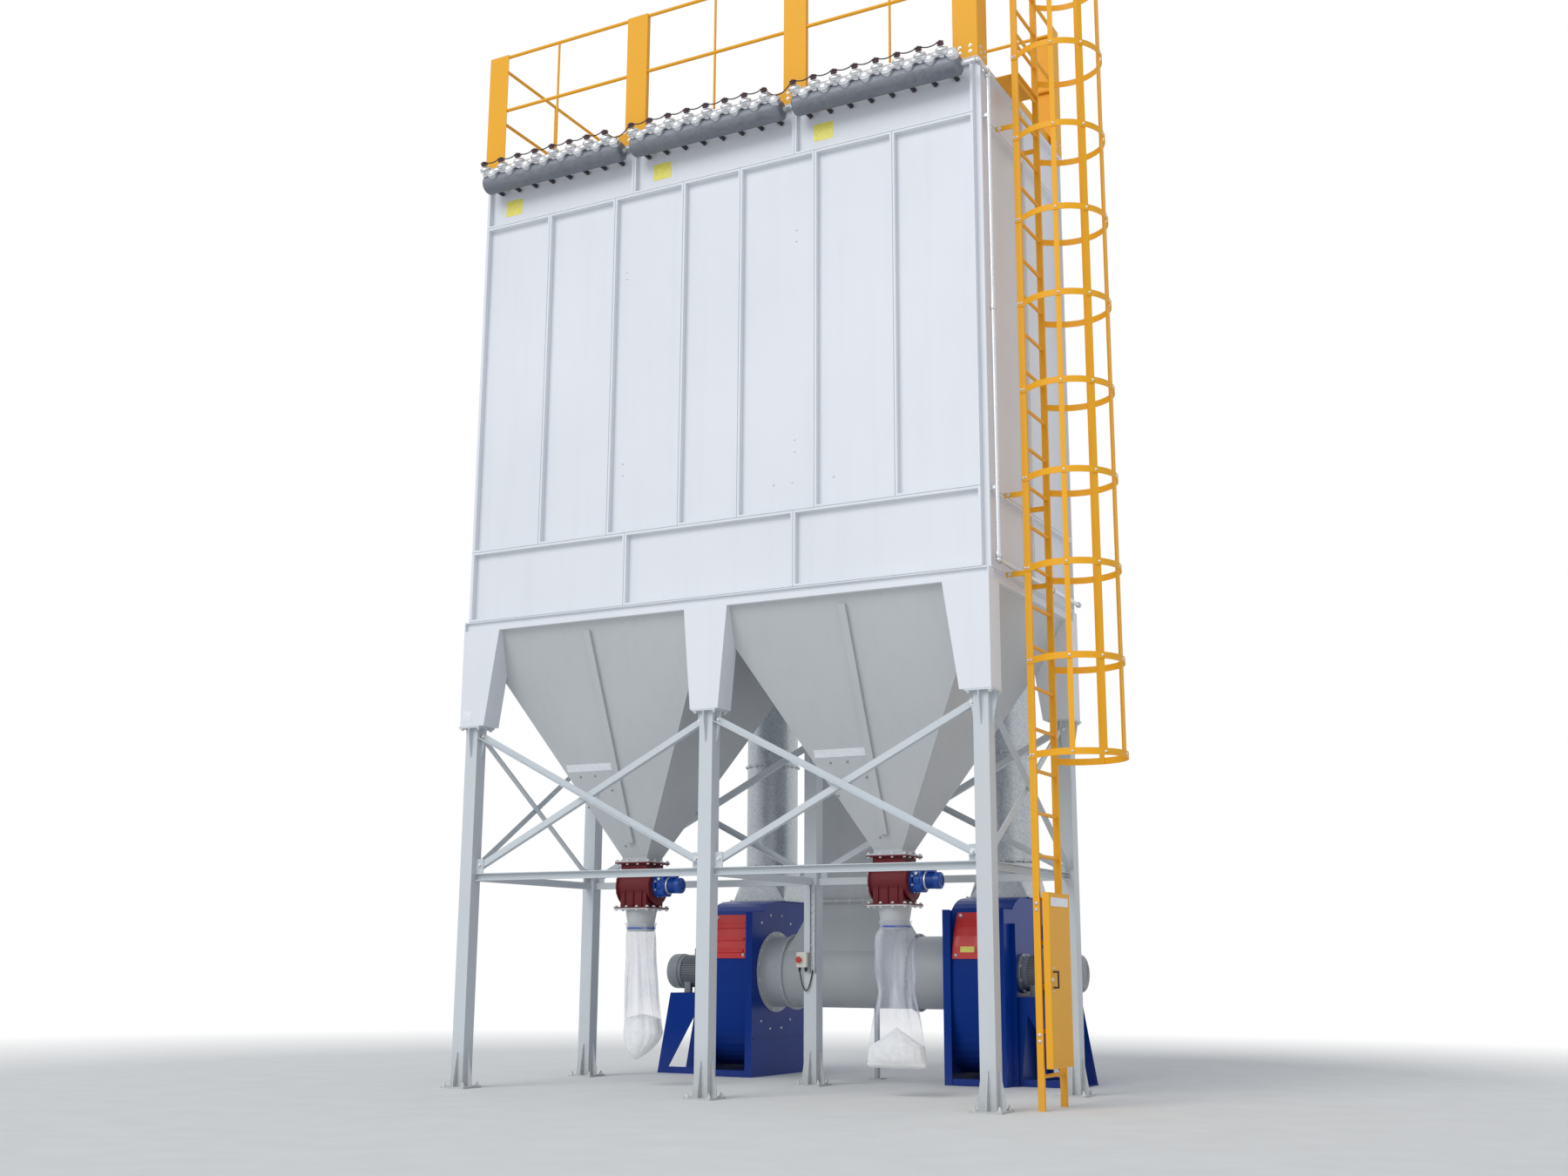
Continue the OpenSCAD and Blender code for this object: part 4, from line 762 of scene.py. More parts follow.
def leaning(angle):
    """Axes turned about x, so that their z leans forward by the angle."""
    c, s = math.cos(angle), math.sin(angle)
    return np.array([[1, 0, 0], [0, c, s], [0, -s, c]])


lean_axes, outlet_axes = leaning(LEAN), leaning(OUTLET_LEAN)
header_middle = grid_of(valve_xs, [header_y], [header_z])
valve_at = header_middle + (header_r + TOUCH) * lean_axes[2] - (VALVE_LEFT, 0, 0)
outlet_at = header_middle + (header_r + TOUCH) * outlet_axes[2] + (OUTLET_RIGHT, 0, 0)
passage = np.array([[0, 0, 0], outlet_at[0] - valve_at[0], [valve_pitch, 0, 0]])
passage += PASSAGE_UP * np.stack([lean_axes[2], outlet_axes[2], lean_axes[2]])
has_next = np.arange(len(valve_xs)) % VALVES < VALVES - 1
castings = joined(
    body.at(valve_at, lean_axes),
    outlet.at(outlet_at, outlet_axes),
    tube(passage[:2], 0.032, 14).at(valve_at),
    tube(passage[1:], 0.026, 14).at(valve_at[has_next]),
)
piece("valve_castings", castings, "cast_alloy", replaces=["pulse_valves"])
piece("valve_coils", coil.at(valve_at, lean_axes), "coil_plastic")

# %% [markdown]
# A thin black lead runs from coil to coil and drops a little between them. Its middle line is a
# parabola, the shape of a slack line: it falls by 4 s t (1 - t) for a sag of s.

# %% Leads between the coils
LEAD_R = 0.005


def slack(start, end, sag, count):
    """Points start + (end - start) t, lowered by 4 sag t (1 - t)."""
    t = np.linspace(0, 1, count)[:, None]
    return np.asarray(start) * (1 - t) + np.asarray(end) * t - 4 * sag * t * (1 - t) * (0, 0, 1)


leads_from = valve_at + 0.121 * lean_axes[2] + 0.008 * lean_axes[1]
short = tube(slack((0, 0, 0), (valve_pitch, 0, 0), 0.03, 9), LEAD_R, 6)
hops = [tube(slack(leads_from[i], leads_from[i + 1], 0.10, 13), LEAD_R, 6)
        for i in np.flatnonzero(~has_next)[:-1]]
piece("valve_leads", joined(short.at(leads_from[has_next]), *hops), "black_plastic")

# %% [markdown]
# Under each header a row of short black hoses carries the pulses back into the head. Each runs
# level and straight from the header's lower side to the sheet, so a tube between two points does.

# %% Blow hoses and header ends
HOSE_R, CLIP_R, CLIP_T, HEADER_HALF = 0.019, 0.022, 0.010, 0.75
hose_z = header_z - header_r * 0.55
hose = tube([(0, header_y + header_r * 0.6, hose_z), (0, -sheet_y - TOUCH, hose_z)], HOSE_R, 12)
piece("blow_hoses", hose.at(grid_of(valve_xs, [0.0], [0.0])), "black_plastic")
clip_at = grid_of(valve_xs, [-sheet_y - 0.006], [hose_z])
piece("hose_clips", disc(CLIP_R, 0, CLIP_T, 16).at(clip_at, "front"), "bolt_zinc")

boss = joined(disc(0.022, -0.004, 0.008, 20), bolt(0.022, False).moved(z=0.006))
bosses = [boss.at(grid_of(module_centres + off, [header_y], [header_z]), side)
          for off, side in ((-HEADER_HALF, "left"), (HEADER_HALF, "right"))]
piece("header_bosses", joined(*bosses), "cast_alloy")

# %% [markdown]
# The two collection bags are tubes of film, tied round the spigots with a blue band and weighed
# down by the powder they have caught. Cloth could be simulated, but film under a steady load
# barely moves, so the bag is a tall tube whose half-width and half-depth follow a few heights,
# with upright gathers that are deepest under the band and flatten where the powder fills them.


# %% The surface of a bag
AROUND, ALONG = 112, 90
SQUARED = 0.85


def through(keys, places):
    """A smooth curve through rows (place, value...): cubic pieces whose slope at a key is the
    slope between its neighbours, so the curve has no corners."""
    at, value = keys[:, 0], keys[:, 1:]
    slope = np.gradient(value, at, axis=0)
    i = np.clip(np.searchsorted(at, places, side="right") - 1, 0, len(at) - 2)
    gap = (at[i + 1] - at[i])[:, None]
    t = ((places - at[i])[:, None]) / gap
    start = (1 + 2 * t) * (1 - t) ** 2 * value[i] + t * (1 - t) ** 2 * gap * slope[i]
    return start + t * t * (3 - 2 * t) * value[i + 1] + t * t * (t - 1) * gap * slope[i + 1]


def bag_rings(keys, lean, gathers, seed, inset, bottom, top):
    """Ring at height z: x = lean + a c, y = b s, where c and s are a circle's cosine and sine
    raised to a power below 1, so that the tube is slightly square, a and b follow the keys, and
    each radius has a sum of four waves round the tube that drift with height."""
    share = np.linspace(0, 1, ALONG)
    z = top + (bottom - top) * (share * 0.75 + 0.25 * share ** 2 * (3 - 2 * share))
    half_x, half_y, depth = (column[:, None] for column in through(np.asarray(keys), z).T)
    a = np.linspace(0, 2 * np.pi, AROUND, endpoint=False)
    c, s = (np.sign(v) * np.abs(v) ** SQUARED for v in (np.cos(a), np.sin(a)))
    waves = ((1.0, 7, 1.6), (0.7, 11, -2.1), (0.5, 17, 2.9), (0.5, 3, 5.0))
    phase = np.random.default_rng(seed).uniform(0, 2 * np.pi, len(waves))
    drift = (z - bottom)[:, None]
    wave = sum(size * np.sin(count * a + start + turns * drift)
               for (size, count, turns), start in zip(waves, phase))
    x = (half_x - inset + depth * gathers * wave) * c + np.interp(z, *lean)[:, None]
    y = (half_y - inset + depth * gathers * wave * 0.8) * s
    return np.stack([x, y, np.broadcast_to(z[:, None], x.shape)], axis=-1)


print("a bag has", AROUND * ALONG, "points")

# %% [markdown]
# Film and powder take the same rings, so that one can't cut through the other. The film is the
# whole tube. The powder is the tube below its fill line, drawn in by a few millimetres, with a
# heap on top that the spigot above has poured.

# %% Film and heap
FILM_GATHERS, POWDER_GATHERS = 0.006, 0.004


def film_bag(keys, lean, seed):
    """The tube of film, open at the top, closed at the bottom seam."""
    rings = bag_rings(keys, lean, FILM_GATHERS, seed, 0.0, keys[0][0], keys[-1][0])
    return skin(rings[::-1], True, False)


def powder_heap(keys, lean, seed, fill, peak, slope):
    """The powder: the bag's own rings below the fill line, drawn in by the film, then a heap.
    The heap's rings shrink by r, and rise by peak x (1 - r) to a power."""
    side = bag_rings(keys, lean, POWDER_GATHERS, seed, 0.004, keys[0][0] + 0.006, fill)[::-1]
    r = np.linspace(1, 0.02, 20)[1:, None]
    middle = side[-1].mean(axis=0)
    heap = middle + (side[-1] - middle) * r[..., None]
    angle = np.linspace(0, 2 * np.pi, AROUND, endpoint=False)
    ripple = 0.012 * np.sin(3 * angle + seed) * r * (1 - r)
    heap[..., 2] = fill + peak * (1 - r) ** slope + ripple
    return skin(np.concatenate([side, heap]))


print("gathers", FILM_GATHERS, "m deep in the film and", POWDER_GATHERS, "in the powder")

# %% [markdown]
# The left bag is gathered to a point and leans, the right one ends in a wide flat seam. Each is
# told by rows from the seam up: height, half-width, half-depth and its share of the gathers. Its
# middle line is told by heights and sideways places, read from the photograph.

# %% Two bags, their powder and bands
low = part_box("collection_bag_left")[0].z
neck = [(1.300, 0.1185, 0.1185, 0.15), (1.345, 0.127, 0.127, 0.7)]
tip = [(low, 0.012, 0.010, 0), (low + 0.03, 0.052, 0.04, 0.1), (low + 0.10, 0.122, 0.085, 0.4),
       (low + 0.165, 0.160, 0.105, 0.6), (0.435, 0.176, 0.112, 0.7), (0.50, 0.166, 0.110, 0.9),
       (0.62, 0.150, 0.108, 1.2), (0.85, 0.133, 0.108, 1.6), (1.06, 0.113, 0.110, 1.6),
       (1.22, 0.117, 0.117, 0.8), *neck]
pillow = [(low, 0.205, 0.012, 0), (low + 0.012, 0.240, 0.045, 0.1), (low + 0.05, 0.248, 0.085, 0.3),
          (low + 0.12, 0.240, 0.110, 0.5), (0.43, 0.222, 0.112, 0.8), (0.60, 0.188, 0.108, 1.4),
          (0.72, 0.152, 0.104, 2.0), (0.80, 0.136, 0.102, 2.2), (0.90, 0.152, 0.110, 2.0),
          (1.10, 0.158, 0.116, 1.4), (1.244, 0.150, 0.124, 0.6), *neck]
tip_off = np.array([-0.035, -0.02, 0.028, 0.045, 0.036, 0.02, 0])
tip_lean = ([0.2, 0.23, 0.35, 0.433, 0.6, 0.85, 1.3], tip_off - hopper_x)
pillow_lean = ([0.2, 0.8, 1.0, 1.3], hopper_x + np.array([0.004, 0.012, -0.004, 0]))
piece("film_bag_left", film_bag(tip, tip_lean, 5), "film", replaces=["collection_bag_left"])
piece("film_bag_right", film_bag(pillow, pillow_lean, 8), "film", replaces=["collection_bag_right"])
piece("powder_left", powder_heap(tip, tip_lean, 5, 0.55, 0.04, 0.7), "powder")
piece("powder_right", powder_heap(pillow, pillow_lean, 8, 0.39, 0.14, 1.2), "powder")

BAND_R = 0.1215
band_path = on_circle(np.linspace(0, 2 * np.pi, 48, endpoint=False)) * BAND_R
band = carry(rounded(0.004, 0.013, 0.0015), level(band_path, 0.0), closed=True)
piece("tie_bands", band.at([(x, 0, neck[0][0]) for x in hopper_xs]), "band_blue")

# %% [markdown]
# The casing is made of pressed trays bolted lip to lip, with a bead of sealant in each joint. A
# bead is only a few millimetres wide, so thin strips on the lips show it best. They are laid on
# the joints of the front and one end, and turned half round for the back and the other end.

# %% Sealant beads
BEAD, BEAD_T = 0.005, 0.0012
HALF_TURN = np.array([[-1, 0, 0], [0, -1, 0], [0, 0, 1]], float)
QUARTER_TURN = np.array([[0, 1, 0], [-1, 0, 0], [0, 0, 1]], float)
CENTRE_HALF = 0.28
right_joints = CENTRE_HALF + (sheet_x - CENTRE_HALF) / 3 * np.arange(3)
bag_joints = np.concatenate([-right_joints[::-1], right_joints])
module_joints = np.array([-module / 2, module / 2])
tier_zs = [tier[0].z, bags[0].z, head[0].z, roof_z]


def strips(width, height, xs, y, zs):
    """Thin strips of one size that look to the front from the plane y."""
    strip = prism(rounded(width, height, 0.001, 1), 0, BEAD_T)
    return strip.at(grid_of(xs, [y], zs), "front")


def upright_beads(xs, low, high, y):
    """Strips up the joints at xs, a little shorter than the tier from low to high."""
    return strips(BEAD, high - low - 0.008, xs, y, [(low + high) / 2])


front_beads = joined(
    upright_beads(bag_joints, bags[0].z, head[0].z, -edge_y),
    upright_beads(module_joints, tier[0].z, bags[0].z, -edge_y),
    upright_beads(module_joints, head[0].z, roof_z, -edge_y),
    strips(2 * sheet_x, BEAD, [0.0], -edge_y, tier_zs),
)
end_beads = joined(
    *(upright_beads([0.0], *tier_zs[i:i + 2], -edge_x) for i in range(3)),
    strips(2 * sheet_y - 0.02, BEAD, [0.0], -edge_x, tier_zs),
).turned(QUARTER_TURN)
beads = [shape for one in (front_beads, end_beads) for shape in (one, one.turned(HALF_TURN))]
piece("tray_beads", joined(*beads), "seam_sealant")

# %% [markdown]
# Small pairs of screws and a short row of rivets break the plain sheets. Every one was found in
# the photograph and put at the same place, because an even pattern would be an invention.

# %% Sheet screws and rivets
screw_xz = [(-0.86, 5.13), (-0.86, 5.03), (-0.87, 6.86), (-0.87, 6.80), (0.78, 5.11), (0.78, 5.01),
            (0.79, 6.91), (0.79, 6.81), (0.59, 4.755), (0.76, 4.755), (0.95, 4.755), (1.13, 4.755)]
sheet_screws = dome(0.010, 0.4).at([(x, -sheet_y, z) for x, z in screw_xz], "front")
piece("sheet_screws", sheet_screws, "bolt_zinc")

# %% [markdown]
# Signs and rating plates are left bare, so each is only a thin plate with rounded corners: white
# strips on the hoppers' slopes, a white one on a haunch and three yellow ones on the head.

# %% Bare plates
PLATE_T, OUTLET_HALF = 0.002, 0.124
neck_top, hopper_top = hopper_low + 0.045, tier[0].z - 0.0903
slope = (sheet_y - OUTLET_HALF) / (hopper_top - neck_top)
slope_axes = facing((0.0, -1.0, -slope))[0]


def on_hopper(places):
    """Places (x, z) on the front plates: y = -(half the outlet + slope x height above it)."""
    x, z = np.array(places).T
    return np.column_stack([x, -(OUTLET_HALF + slope * (z - neck_top)), z])


strip_at = on_hopper([(-hopper_x - 0.275, 2.64), (hopper_x - 0.26, 2.64)])
hopper_plates = plate(0.46, 0.065, PLATE_T).at(strip_at, slope_axes)
haunch_plate = plate(0.09, 0.09, PLATE_T).at([(-2.36, -edge_y, 3.07)], "front")
piece("bare_white_plates", joined(hopper_plates, haunch_plate), "plate_white")
head_at = [(x, -sheet_y, 7.735) for x in (-2.12, -0.53, 1.04)]
head_plates = plate(0.18, 0.15, PLATE_T).at(head_at, "front")

# %% [markdown]
# On each hopper's front, left of the stiffener, a flush hatch shows only by its fixings: four
# studs, a dark knob in their midst, and one more stud low beside the stiffener. They stand square
# to the sloping plate, so they share the axes of the bare strips.

# %% Hatch fixings
hatch_xs = (-hopper_x - 0.02, hopper_x)
studs = [(-0.36, 2.570), (-0.21, 2.572), (-0.068, 2.448), (-0.345, 2.317), (-0.048, 1.988)]
stud_at = on_hopper([(x + off, z) for x in hatch_xs for off, z in studs])
piece("hatch_studs", dome(0.010, 0.5).at(stud_at, slope_axes), "cast_grey")
knob = lathe([(0, -0.001), (0.009, -0.001), (0.009, 0.010), (0.016, 0.014), (0.016, 0.022),
              (0.010, 0.028), (0, 0.030)], 12)
knob_at = on_hopper([(x - 0.23, 2.437) for x in hatch_xs])
piece("hatch_knobs", knob.at(knob_at, slope_axes), "black_plastic")

# %% [markdown]
# The fan's front is the edge of its rounded scroll. Screws and ribs on it need the scroll's own
# surface: y and z keep the rule |y / a| ^ n + |z / b| ^ n = 1, so y follows from z, and the
# slope of that curve says which way a screw looks.

# %% On the scroll
ROUND, SCROLL_A, SCROLL_B, SCROLL_Z = 2.6, 0.5723, 0.7723, 0.84
PANEL_WIDE, PANEL_EDGE, PANEL_RIM = 0.42, 0.035, 0.03
fans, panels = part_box("fan_casing_right"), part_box("fan_front_panels")
scroll_y = fans[0].y + 0.59


def on_scroll(xs, zs):
    """Places on the front of the scroll for all x with all z, and axes that look out of it."""
    x, z = grid_of(xs, zs).T
    share = np.abs((z - SCROLL_Z) / SCROLL_B)
    y = scroll_y - SCROLL_A * (1 - share ** ROUND) ** (1 / ROUND)
    dy = -(np.abs((scroll_y - y) / SCROLL_A) ** (ROUND - 1)) / SCROLL_A
    dz = np.sign(z - SCROLL_Z) * share ** (ROUND - 1) / SCROLL_B
    return np.column_stack([x, y, z]), facing(np.column_stack([np.zeros(len(y)), dy, dz]))


near, far = panels[1].x - PANEL_WIDE, panels[1].x
rim_xs = np.array([near + PANEL_EDGE, far - PANEL_EDGE])
rim_zs = [panels[0].z + PANEL_RIM, panels[1].z - PANEL_RIM]
rim_at = on_scroll(np.concatenate([rim_xs, -rim_xs]), rim_zs)
piece("panel_screws", dome(0.017, 0.5).at(*rim_at), "bolt_zinc")
rib = prism(rounded(0.34, 0.030, 0.012, 4), -0.003, 0.011, 0.004)
ribs = rib.at(*on_scroll([-(near + far) / 2], [1.125, 1.235, 1.345]))
piece("panel_ribs", ribs, "panel_red")
small_plate = plate(0.13, 0.05, PLATE_T).at(*on_scroll([near + 0.14], [1.14]))
piece("bare_yellow_plates", joined(head_plates, small_plate), "plate_yellow")

# %% [markdown]
# The fans' side plates carry eight screws round the inlet, a folded edge low down and a bar along
# the foot. Each is made once and given a twin that looks the other way, as the machine's has.

# %% Fan side plates and feet
FAN_Y, FAN_Z, CASING_HALF, SCREW_R = 1.98, 0.94, 0.285, 0.528
fan_in = fans[0].x + 0.02
fan_xs = (-fan_in - CASING_HALF, fan_in + CASING_HALF)


def both_ways(shape, x, y=FAN_Y, z=FAN_Z):
    """A shape at x that looks right, and its twin at -x that looks left."""
    return joined(shape.at([(x, y, z)], "right"), shape.at([(-x, y, z)], "left"))


screw_a = np.radians([57.5, 78, 102, 122.5, -57.5, -78, -102, -122.5])
screw_ring = level(on_circle(screw_a) * SCREW_R, 0.0)
piece("fan_screws", both_ways(dome(0.012).at(screw_ring), -fan_in), "bolt_zinc")
fold = prism(rounded(1.12, 0.012, 0.002, 1), -0.002, 0.006)
bar = prism(rounded(0.54, 0.04, 0.004, 1), 0.008, 0.058, 0.001)
bars = bar.at(grid_of(fan_xs, [fans[0].y + 0.028, fans[0].y + 1.15], [0.0]))
folds_and_bars = joined(both_ways(fold, -fan_in, scroll_y, 0.34), bars)
piece("fan_folds_and_bars", folds_and_bars, "fan_blue")

# %% [markdown]
# Ducts are joined by flanges with evenly spaced bolts. The round ones share a bolt circle, the
# square ones a bolt rectangle, and both are only arrays of places for the same small bolt.

# %% Duct bolts
PLENUM_R, TEE_X, TEE_HALF, FLANGE = 0.32, -0.1, 0.625, 0.012
STACK_BOLT_R, STACK_JOINTS, JOINT_T = 0.261, (1.93, 2.915), 0.01


def bolted(across, places, z=0.0):
    """Bolts of one size standing at flat places."""
    return bolt(across).at(level(places, z))


def rectangle(half_x, half_y, count_x, count_y):
    """Flat places along the four sides, spread evenly, with one at each corner."""
    along_x = grid_of(np.linspace(-half_x, half_x, count_x), [-half_y, half_y])
    along_y = grid_of([-half_x, half_x], np.linspace(-half_y, half_y, count_y)[1:-1])
    return np.concatenate([along_x, along_y])


duct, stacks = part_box("clean_air_duct"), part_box("discharge_ducts")
duct_y, stack_y = ((box[0].y + box[1].y) / 2 for box in (duct, stacks))
plenum_ring = bolted(0.013, circle(16) * (PLENUM_R + 0.028))
tee_ring = bolted(0.013, circle(20) * (PLENUM_R + 0.013))
duct_ring = bolted(0.013, rectangle(0.338, 0.288, 6, 5))
stack_ring = bolted(0.013, circle(16) * STACK_BOLT_R)
duct_bolts = [both_ways(plenum_ring, FLANGE + TOUCH - fan_in),
              both_ways(tee_ring, TEE_HALF + FLANGE).moved(x=TEE_X)]
# The joints of the upright ducts: bolts, places, the flanges' lower face and thickness
for ring, xs, y, low, thick in (
    (duct_ring, [TEE_X], duct_y, duct[0].z - 0.0105, 0.0205),
    (duct_ring, [TEE_X], duct_y, tier[0].z, JOINT_T),
    (duct_ring, [TEE_X], duct_y, (bags[0].z + head[0].z) / 2, JOINT_T),
    *((stack_ring, fan_xs, stack_y, z, JOINT_T) for z in STACK_JOINTS),
):
    duct_bolts.append(ring.at(grid_of(xs, [y], [low + thick])))
    duct_bolts.append(ring.at(grid_of(xs, [y], [low]), "down"))
foot_ring = bolted(0.013, rectangle(0.293, 0.288, 5, 5), stacks[0].z + 0.01)
piece("duct_bolts", joined(*duct_bolts, foot_ring.at(grid_of(fan_xs, [stack_y], [0.0]))), "bolt_zinc")

# %% [markdown]
# Two kinds of motor drive the machine, and both have a round flange, a finned frame and a cowl
# over the cooling fan. The fins are one outline drawn along the motor, since that is how a motor
# frame is extruded, and it costs less than forty separate blades.


# %% Motor parts
def finned(count, inner, outer):
    """An outline whose radius steps between inner and outer, count times round."""
    a = (np.arange(count)[:, None] + np.array([0, 0.6, 0.66, 0.94])) * 2 * np.pi / count
    r = np.array([inner, inner, outer, outer])
    return (r[:, None] * on_circle(a)).reshape(-1, 2)


def cowl(radius, low, high, turned_in):
    """A fan cover: a straight wall, a quarter round of the given size and three shallow rings."""
    quarter = on_circle(np.linspace(0, np.pi / 2, 7))
    rim = (radius - turned_in, high - turned_in) + turned_in * quarter
    grille = [(radius * k, high - 0.004 * (i % 2))
              for i, k in enumerate((0.62, 0.6, 0.46, 0.44, 0.30, 0.28, 0.12))]
    return lathe([(0, low), (radius, low), *rim, *grille, (0, high)], 48)


def motor_flange(radius, sides):
    """A disc with its front rim turned down."""
    return lathe([(0, 0), (radius, 0), (radius, 0.018), (radius - 0.004, 0.022), (0, 0.022)], sides)


print("an outline of 30 fins has", len(finned(30, 0.9, 1.0)), "points")

# %% [markdown]
# A worm gearmotor turns each rotary valve. Behind its flange come a cast box and a silver adapter
# ring, and then the motor with its terminal box.

# %% Gearmotors
GEAR_R, MOTOR_R, VALVE_HALF = 0.1, 0.066, 0.165
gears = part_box("valve_gearmotors")
gear_z, gear_len = gears[0].z + GEAR_R, gears[1].x - (2 * hopper_x + gears[0].x)
gear_at = [(gears[0].x + off, 0, gear_z) for off in (0, 2 * hopper_x)]
gearmotor = joined(
    motor_flange(GEAR_R, 40),
    prism(rounded(0.15, 0.18, 0.035, 4), 0.02, 0.096, 0.006),
    prism(rounded(0.165, 0.07, 0.02), 0.03, 0.082, 0.004),
    lathe([(0, 0.09), (0.078, 0.09), (0.078, 0.104), (0.058, 0.112), (0, 0.112)], 40),
    prism(finned(30, MOTOR_R * 0.86, MOTOR_R * 0.97), 0.12, gear_len - 0.045),
    cowl(MOTOR_R, gear_len - 0.05, gear_len, 0.012),
    prism(rounded(0.072, 0.03, 0.006), 0.13, gear_len - 0.055, 0.003).moved(y=MOTOR_R + 0.012),
)
piece("gearmotors", gearmotor.at(gear_at, "right"), "motor_blue", replaces=["valve_gearmotors"])
gear_bright = joined(
    disc(MOTOR_R + 0.004, 0.111, 0.121, 40),
    bolted(0.014, circle(8) * 0.089, 0.02),
    bolt(0.022, False).turned("left").moved(-0.0825, 0.055, 0.06),
)
piece("gearmotor_bolts", gear_bright.at(gear_at, "right"), "bolt_zinc")
end_at = [(x - VALVE_HALF, 0, gear_z) for x in hopper_xs]
piece("valve_end_bolts", bolted(0.014, circle(8) * 0.146).at(end_at, "left"), "bolt_zinc")

# %% [markdown]
# The fans have larger motors of the same build, with a terminal box on top and feet that stand on
# the stools. One is made, and the left one is its twin.

# %% Fan motors
MOTOR_FROM = 0.57
face_x = fan_in + MOTOR_FROM + TOUCH
motor_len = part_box("fan_motors")[1].x - face_x
feet_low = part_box("fan_stools")[1].z - FAN_Z + TOUCH
foot = prism(rounded(0.05, 0.07, 0.008, 2), 0, 0.10, 0.001)
fan_motor = joined(
    motor_flange(0.17, 56),
    lathe([(0, 0.02), (0.150, 0.02), (0.153, 0.026), (0.153, 0.07), (0.14, 0.078), (0, 0.078)], 56),
    prism(finned(44, 0.134, 0.152), 0.075, 0.40),
    lathe([(0, 0.395), (0.154, 0.395), (0.156, 0.40), (0.156, 0.436), (0, 0.436)], 56),
    cowl(0.163, 0.43, motor_len, 0.05),
    prism(rounded(0.15, 0.11, 0.01), 0.14, 0.28, 0.004).moved(y=0.16),
    foot.at(grid_of([-0.095, 0.095], [feet_low], [0.13, 0.33]), "back"),
)
piece("finned_fan_motors", both_ways(fan_motor, face_x), "cast_grey", replaces=["fan_motors"])
piece("fan_motor_bolts", both_ways(bolted(0.017, circle(8) * 0.16, 0.021), face_x), "bolt_zinc")

# %% [markdown]
# The emergency stop is a cream box with a red mushroom button, two glands below and a short cable
# that loops into the slotted tray. Both ends of that cable are held, so it is fixed wiring.

# %% Emergency stop
stop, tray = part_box("emergency_stop"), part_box("cable_tray")
stop_x, stop_z = (stop[0].x + stop[1].x) / 2, (stop[0].z + stop[1].z) / 2
stop_at = [(stop_x, stop[1].y, stop_z)]
case = joined(prism(rounded(0.1, 0.13, 0.010), 0.0, 0.040, 0.002),
              prism(rounded(0.098, 0.128, 0.010), 0.0405, 0.060, 0.003))
piece("stop_case", case.at(stop_at, "front"), "box_grey", replaces=["emergency_stop"])
button = lathe([(0, 0.058), (0.016, 0.058), (0.016, 0.070), (0.026, 0.074), (0.0275, 0.082),
                (0.024, 0.088), (0.012, 0.0895), (0, 0.0895)], 32)
piece("stop_button", button.moved(x=-0.018).at(stop_at, "front"), "button_red")
gland = lathe([(0, 0), (0.011, 0), (0.013, 0.006), (0.013, 0.018), (0.009, 0.024),
               (0.009, 0.036), (0, 0.036)], 16)
gland_at = grid_of([stop_x - 0.03, stop_x + 0.03], [stop[1].y - 0.03], [stop[0].z])
loop_end = (tray[0].x + 0.025, tray[0].y + 0.010, tray[0].z + 0.03)
loop = tube(slack(gland_at[0] - (0, 0, 0.03), loop_end, 0.17, 21), 0.0055)
piece("stop_glands_and_cable", joined(gland.at(gland_at, "down"), loop), "black_plastic")
lid_screws = dome(0.005).at(level(corners * (0.04, 0.055), 0.060))
piece("stop_screws", lid_screws.at(stop_at, "front"), "bolt_zinc")

# %% [markdown]
# The guard door keeps strangers off the ladder. It has a bare plate at the top, a lock by the
# handle and the screws of its leaf, and all of them ride on the door so that they swing with it.

# %% Guard door
door_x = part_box("ladder_guard_door")[1].x
top_plate = plate(0.37, 0.062, PLATE_T).at([(door_x, -0.4175, 1.455)], "right")
piece("door_plate", top_plate, "plate_white", "guard_door")
lock = joined(lathe([(0, 0), (0.016, 0), (0.016, 0.006), (0.013, 0.009), (0, 0.009)]),
              prism(rounded(0.003, 0.012, 0.001, 1), 0.0, 0.0095, 0.0006))
handle_screws = dome(0.006).at(grid_of([door_x], [-0.592, -0.568], [0.825, 0.985]), "right")
door_lock = joined(lock.at([(door_x, -0.612, 0.905)], "right"), handle_screws)
piece("door_lock", door_lock, "bolt_zinc", body="guard_door")

# %% [markdown]
# The supply pipe is joined by sleeves and elbows and held by clips. All of them are turned, so
# one sleeve laid at nine places and one ball at the three bends make every fitting.

# %% Pipe fittings
PIPE_R, PIPE_OFF, CLIP_Y, ELBOW_R = 0.017, 0.06, 0.3, 0.0235
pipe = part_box("air_supply_pipe")
run_x, run_y, run_z = pipe[1].x - PIPE_R, PIPE_OFF - sheet_y, tier[0].z + PIPE_OFF
sleeve = lathe([(0, 0), (0.023, 0), (0.024, 0.003), (0.024, 0.032), (0.023, 0.035), (0, 0.035)], 20)
sleeves = [sleeve.at([place], way) for *place, way in (
    (run_x - 0.02, header_y, header_z, "left"),
    (run_x, header_y + 0.02, header_z, "back"),
    (run_x, run_y - 0.02, header_z, "front"),
    (run_x, run_y, header_z - 0.02, "down"),
    (run_x, run_y, run_z + 0.02, "up"),
    (run_x, run_y + 0.02, run_z, "back"),
    (run_x, run_y, (tier[0].z + roof_z) / 2, "down"),
    (run_x, CLIP_Y, run_z, "back"),
    (run_x, pipe[1].y, run_z, "front"),
)]
ball = lathe(on_circle(np.linspace(0.02, np.pi - 0.02, 12) - np.pi / 2) * ELBOW_R, 20)
elbows = ball.at([(run_x, header_y, header_z), (run_x, run_y, header_z), (run_x, run_y, run_z)])
piece("pipe_fittings", joined(*sleeves, elbows), "cast_alloy")

# %% [markdown]
# On the roof the posts are bolted down, and every cover has two handles and six catches, so that
# a fitter can lift it off. The bolts of two sides are made, and turned half round for the others.

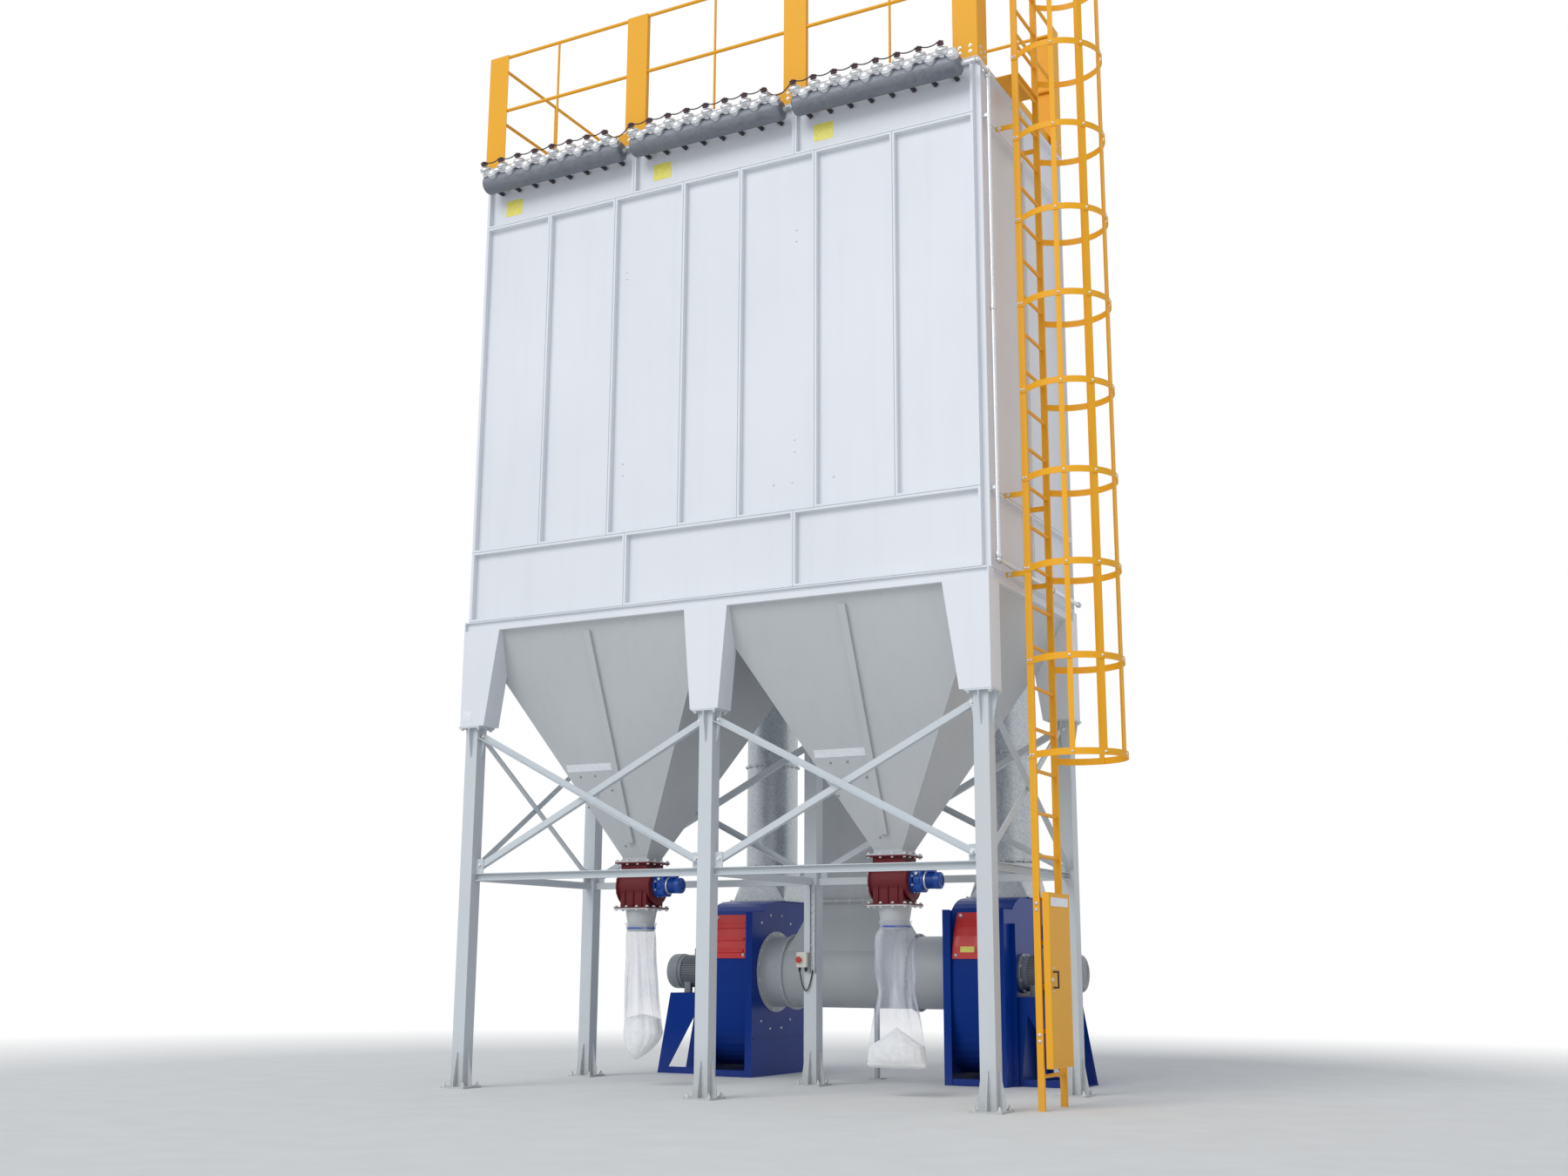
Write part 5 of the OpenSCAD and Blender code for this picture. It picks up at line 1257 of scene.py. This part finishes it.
# %% Post bolts and cover grips
post_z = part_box("guard_posts")[0].z + np.array([0.05, 0.10])
inset = np.array([0.06, 0.15])
middle_xs = (module_joints[:, None] + (-0.06, 0.06)).ravel()
front_xs = np.concatenate([middle_xs, inset - edge_x, edge_x - inset])
side_ys = np.concatenate([inset - edge_y, edge_y - inset])
post_bolts = joined(bolt(0.014).at(grid_of(front_xs, [-edge_y], post_z), "front"),
                    bolt(0.014).at(grid_of([edge_x], side_ys, post_z), "right"))
piece("post_bolts", joined(post_bolts, post_bolts.turned(HALF_TURN)), "bolt_zinc")

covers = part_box("roof_covers")
grip = tube([(-0.08, 0, 0), (-0.08, 0, 0.035), (-0.072, 0, 0.043), (0.072, 0, 0.043),
             (0.08, 0, 0.035), (0.08, 0, 0)], 0.006)
grips = grip.at(grid_of(module_centres, [-0.5, 0.5], [covers[1].z - 0.001]))
hasp = tube([(-0.008, 0.018, 0.006), (-0.008, 0.018, 0.014), (0.008, 0.018, 0.014),
             (0.008, 0.018, 0.006)], 0.002, 6)
catch = joined(plate(0.03, 0.045, 0.008), hasp)
catch_xs = (module_centres[:, None] + (-0.5, 0.0, 0.5)).ravel()
catches = [catch.at(grid_of(catch_xs, [cover.y], [(covers[0].z + covers[1].z) / 2]), side)
           for cover, side in zip(covers, ("front", "back"))]
piece("cover_grips", joined(grips, *catches), "bolt_zinc")

# %% [markdown]
# Light is plain: a bright even sky and one broad soft lamp from the front left, which is where
# the daylight comes from in the photograph. The floor is pale and keeps the shadow. A camera ray
# that meets nothing sees white, and so does a glossy one, so metal reflects the same sky.

# %% Floor, sky and lamp
REACH = 20.0
WHITE, SKY = (1, 1, 1, 1), linear("#dfe4ec")

# The floor is a dull pale grey near the machine and fades into the white backdrop with distance
f = Finish("pale_floor")
pale = f.blend(f.noise(0.4, 6.0, 0.6), linear("#dcdcd9"), linear("#eaeae8"))
fade = f.ramp(f.node("VectorMath", {0: f.place}, "Value", operation="LENGTH"), 7.0, 14.0)
dull = f.node("BsdfDiffuse", {"Color": pale})
glow = f.node("Emission", {"Color": WHITE, "Strength": 1.0})
f.node("OutputMaterial", {"Surface": f.node("MixShader", {0: fade, 1: dull, 2: glow})})
ground_plane = Shape(level(corners * REACH, 0.0)[[0, 2, 3, 1]], range(4), [4])
placed("floor", ground_plane, f.material)

world = bpy.data.worlds.new("sky")
bpy.context.scene.world = world
sky = NodeTree(world)
seen, clear, glossy = (sky.node("LightPath", {}, f"Is {ray} Ray")
                       for ray in ("Camera", "Transmission", "Glossy"))
backdrop = seen.maths("MAXIMUM", seen.maths("MAXIMUM", seen, clear), glossy)
soft = sky.node("Background", {"Color": SKY, "Strength": 0.72})
white = sky.node("Background", {"Color": WHITE, "Strength": 1.0})
sky.node("OutputWorld", {"Surface": sky.node("MixShader", {0: backdrop, 1: soft, 2: white})})

lamp = bpy.data.objects.new("soft_lamp", bpy.data.lights.new("soft_lamp", "SUN"))
bpy.context.collection.objects.link(lamp)
lamp.data.energy = 1.3
lamp.data.angle = math.radians(35)
lamp.rotation_euler = Vector((0.2, 0.82, -0.58)).to_track_quat("-Z", "Y").to_euler()
bpy.context.scene.view_settings.view_transform = "Standard"
print("lamp", lamp.data.energy)

# %% Sizes and end
print("triangles in new pieces", sum(made.values()))
